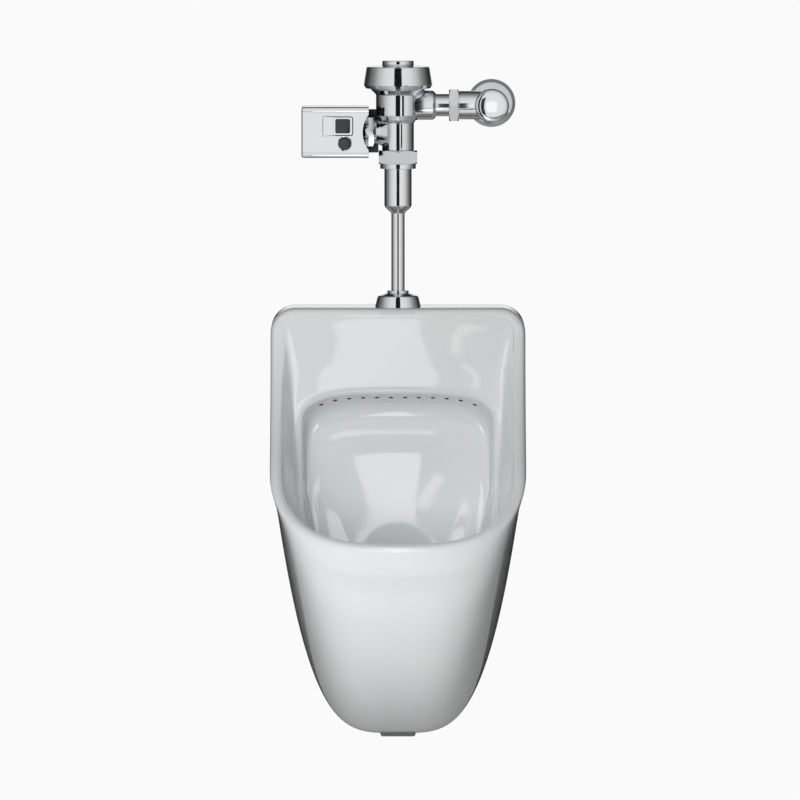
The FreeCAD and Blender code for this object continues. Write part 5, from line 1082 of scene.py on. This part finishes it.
# What polished faces mirror: pale in front, falling to dark flags at the sides and white paper behind
heading = add_node(tree, "ShaderNodeTexCoord")
heading = add_node(tree, "ShaderNodeSeparateXYZ", {0: heading.outputs["Generated"]})
behind = add_node(tree, "ShaderNodeMapRange", {0: heading.outputs["Y"], 1: -1.0, 2: 1.0, 3: 0.0, 4: 1.0})
studio = add_node(tree, "ShaderNodeValToRGB", {0: behind.outputs[0]})
stops = ((0.0, 0.95), (0.15, 0.85), (0.33, 0.6), (0.5, 0.3), (0.66, 0.16), (0.8, 0.05), (0.94, 0.02))
bands = studio.color_ramp.elements
while len(bands) < len(stops):
    bands.new(1.0)
for band, (where, grey) in zip(bands, stops):
    band.position = where
    band.color = (grey, grey, grey, 1.0)
raised = add_node(tree, "ShaderNodeMapRange", {0: heading.outputs["Z"], 1: -0.02, 2: 0.04, 3: 0.0, 4: 1.0})
far_back = add_node(tree, "ShaderNodeMapRange", {0: behind.outputs[0], 1: 0.95, 2: 0.985, 3: 0.0, 4: 0.9})
paper_share = add_node(
    tree, "ShaderNodeMath", {0: raised.outputs[0], 1: far_back.outputs[0]}, operation="MULTIPLY")
studio = add_node(tree, "ShaderNodeMix", {
    "Factor": paper_share.outputs[0], "A": studio.outputs["Color"], "B": srgb("ffffff")}, data_type="RGBA")
mirrored = add_node(tree, "ShaderNodeBackground", {"Color": studio.outputs["Result"], "Strength": 1.0})
around = add_node(tree, "ShaderNodeMixShader", {
    0: rays.outputs["Is Glossy Ray"], 1: fill.outputs[0], 2: mirrored.outputs[0]})
either = add_node(tree, "ShaderNodeMixShader", {
    0: seen.outputs[0], 1: around.outputs[0], 2: paper.outputs[0]})
add_node(tree, "ShaderNodeOutputWorld", {"Surface": either.outputs[0]})


def soft_box(name, spot, target, width, height, watts):
    lamp = bpy.data.lights.new(name, "AREA")
    lamp.shape = "RECTANGLE"
    lamp.size = width
    lamp.size_y = height
    lamp.energy = watts
    holder = bpy.data.objects.new(name, lamp)
    holder.location = spot
    holder.rotation_euler = (Vector(target) - Vector(spot)).to_track_quat("-Z", "Y").to_euler()
    holder.visible_glossy = False
    scene.collection.objects.link(holder)


soft_box("front_soft_box", (-0.3, -1.6, 0.35), (0, -0.2, 0.2), 0.7, 0.7, 14.0)
soft_box("left_soft_box", (-1.7, -2.4, 1.3), (0, 0, 0.3), 0.8, 1.6, 2.0)
soft_box("top_soft_box", (-0.2, -0.9, 2.6), (0, -0.1, 0.4), 1.4, 1.0, 6.0)


def upright_card(name, reach, low, low_span, high, high_span, glow):
    """A card facing the part, as wide at its foot and head as the spans say, that only reflections see."""
    card_paint = bpy.data.materials.new(name + "_paint")
    card_paint.use_nodes = True
    tree = card_paint.node_tree
    tree.nodes.clear()
    light = add_node(tree, "ShaderNodeEmission", {"Color": srgb("ffffff"), "Strength": glow})
    add_node(tree, "ShaderNodeOutputMaterial", {"Surface": light.outputs[0]})
    across = (*low_span, *reversed(high_span))
    corners = [(x, -reach, z) for x, z in zip(across, (low, low, high, high))]
    mesh = bpy.data.meshes.new(name)
    mesh.from_pydata(corners, [], [(0, 1, 2, 3)])
    card = new_piece(mesh, card_paint)
    card.visible_camera = False
    card.visible_diffuse = False
    card.visible_shadow = False
    card.visible_transmission = False


upright_card("camera_gap_card", 0.25, 0.5, (-0.036, 0.036), 1.05, (-0.036, 0.036), 0.01)
upright_card("tailpiece_gap_card", 0.25, 0.72, (0.058, 0.1), 0.84, (0.058, 0.1), 0.04)
upright_card("stop_cap_card", 0.5, 0.72, (0.09, 0.178), 0.81, (0.09, 0.178), 1.2)
upright_card("wide_window_card", 0.6, 0.262, (-0.088, 0.05), 0.446, (-0.145, 0.078), 2.6)
upright_card("narrow_window_card", 0.6, 0.325, (0.096, 0.106), 0.446, (0.146, 0.156), 2.4)
upright_card("basin_wide_card", 0.36, 0.17, (-0.005, 0.006), 0.228, (-0.055, 0.031), 3.4)
upright_card("basin_narrow_card", 0.361, 0.19, (0.014, 0.021), 0.216, (0.042, 0.052), 3.0)

CAMERA_DISTANCE = 20.0
CAMERA_ELEVATION = math.radians(3.5)
PIXEL = 1.43 * MM
PHOTO_SIDE = 800
CENTRE_PIXEL = 398.0
CHINA_TOP_PIXEL = 308.0
SENSOR = 36.0
aim_height = CHINA_TOP + (CHINA_TOP_PIXEL - PHOTO_SIDE / 2) * PIXEL
aim = Vector(((PHOTO_SIDE / 2 - CENTRE_PIXEL) * PIXEL, -PANEL_REACH, aim_height))
lens = bpy.data.cameras.new("product_camera")
lens.sensor_width = SENSOR
lens.lens = SENSOR * CAMERA_DISTANCE / (PHOTO_SIDE * PIXEL)
lens.clip_end = 100.0
camera = bpy.data.objects.new("product_camera", lens)
camera.location = aim + CAMERA_DISTANCE * Vector((0, -math.cos(CAMERA_ELEVATION), math.sin(CAMERA_ELEVATION)))
camera.rotation_euler = (QUARTER - CAMERA_ELEVATION, 0.0, 0.0)
scene.collection.objects.link(camera)
scene.camera = camera
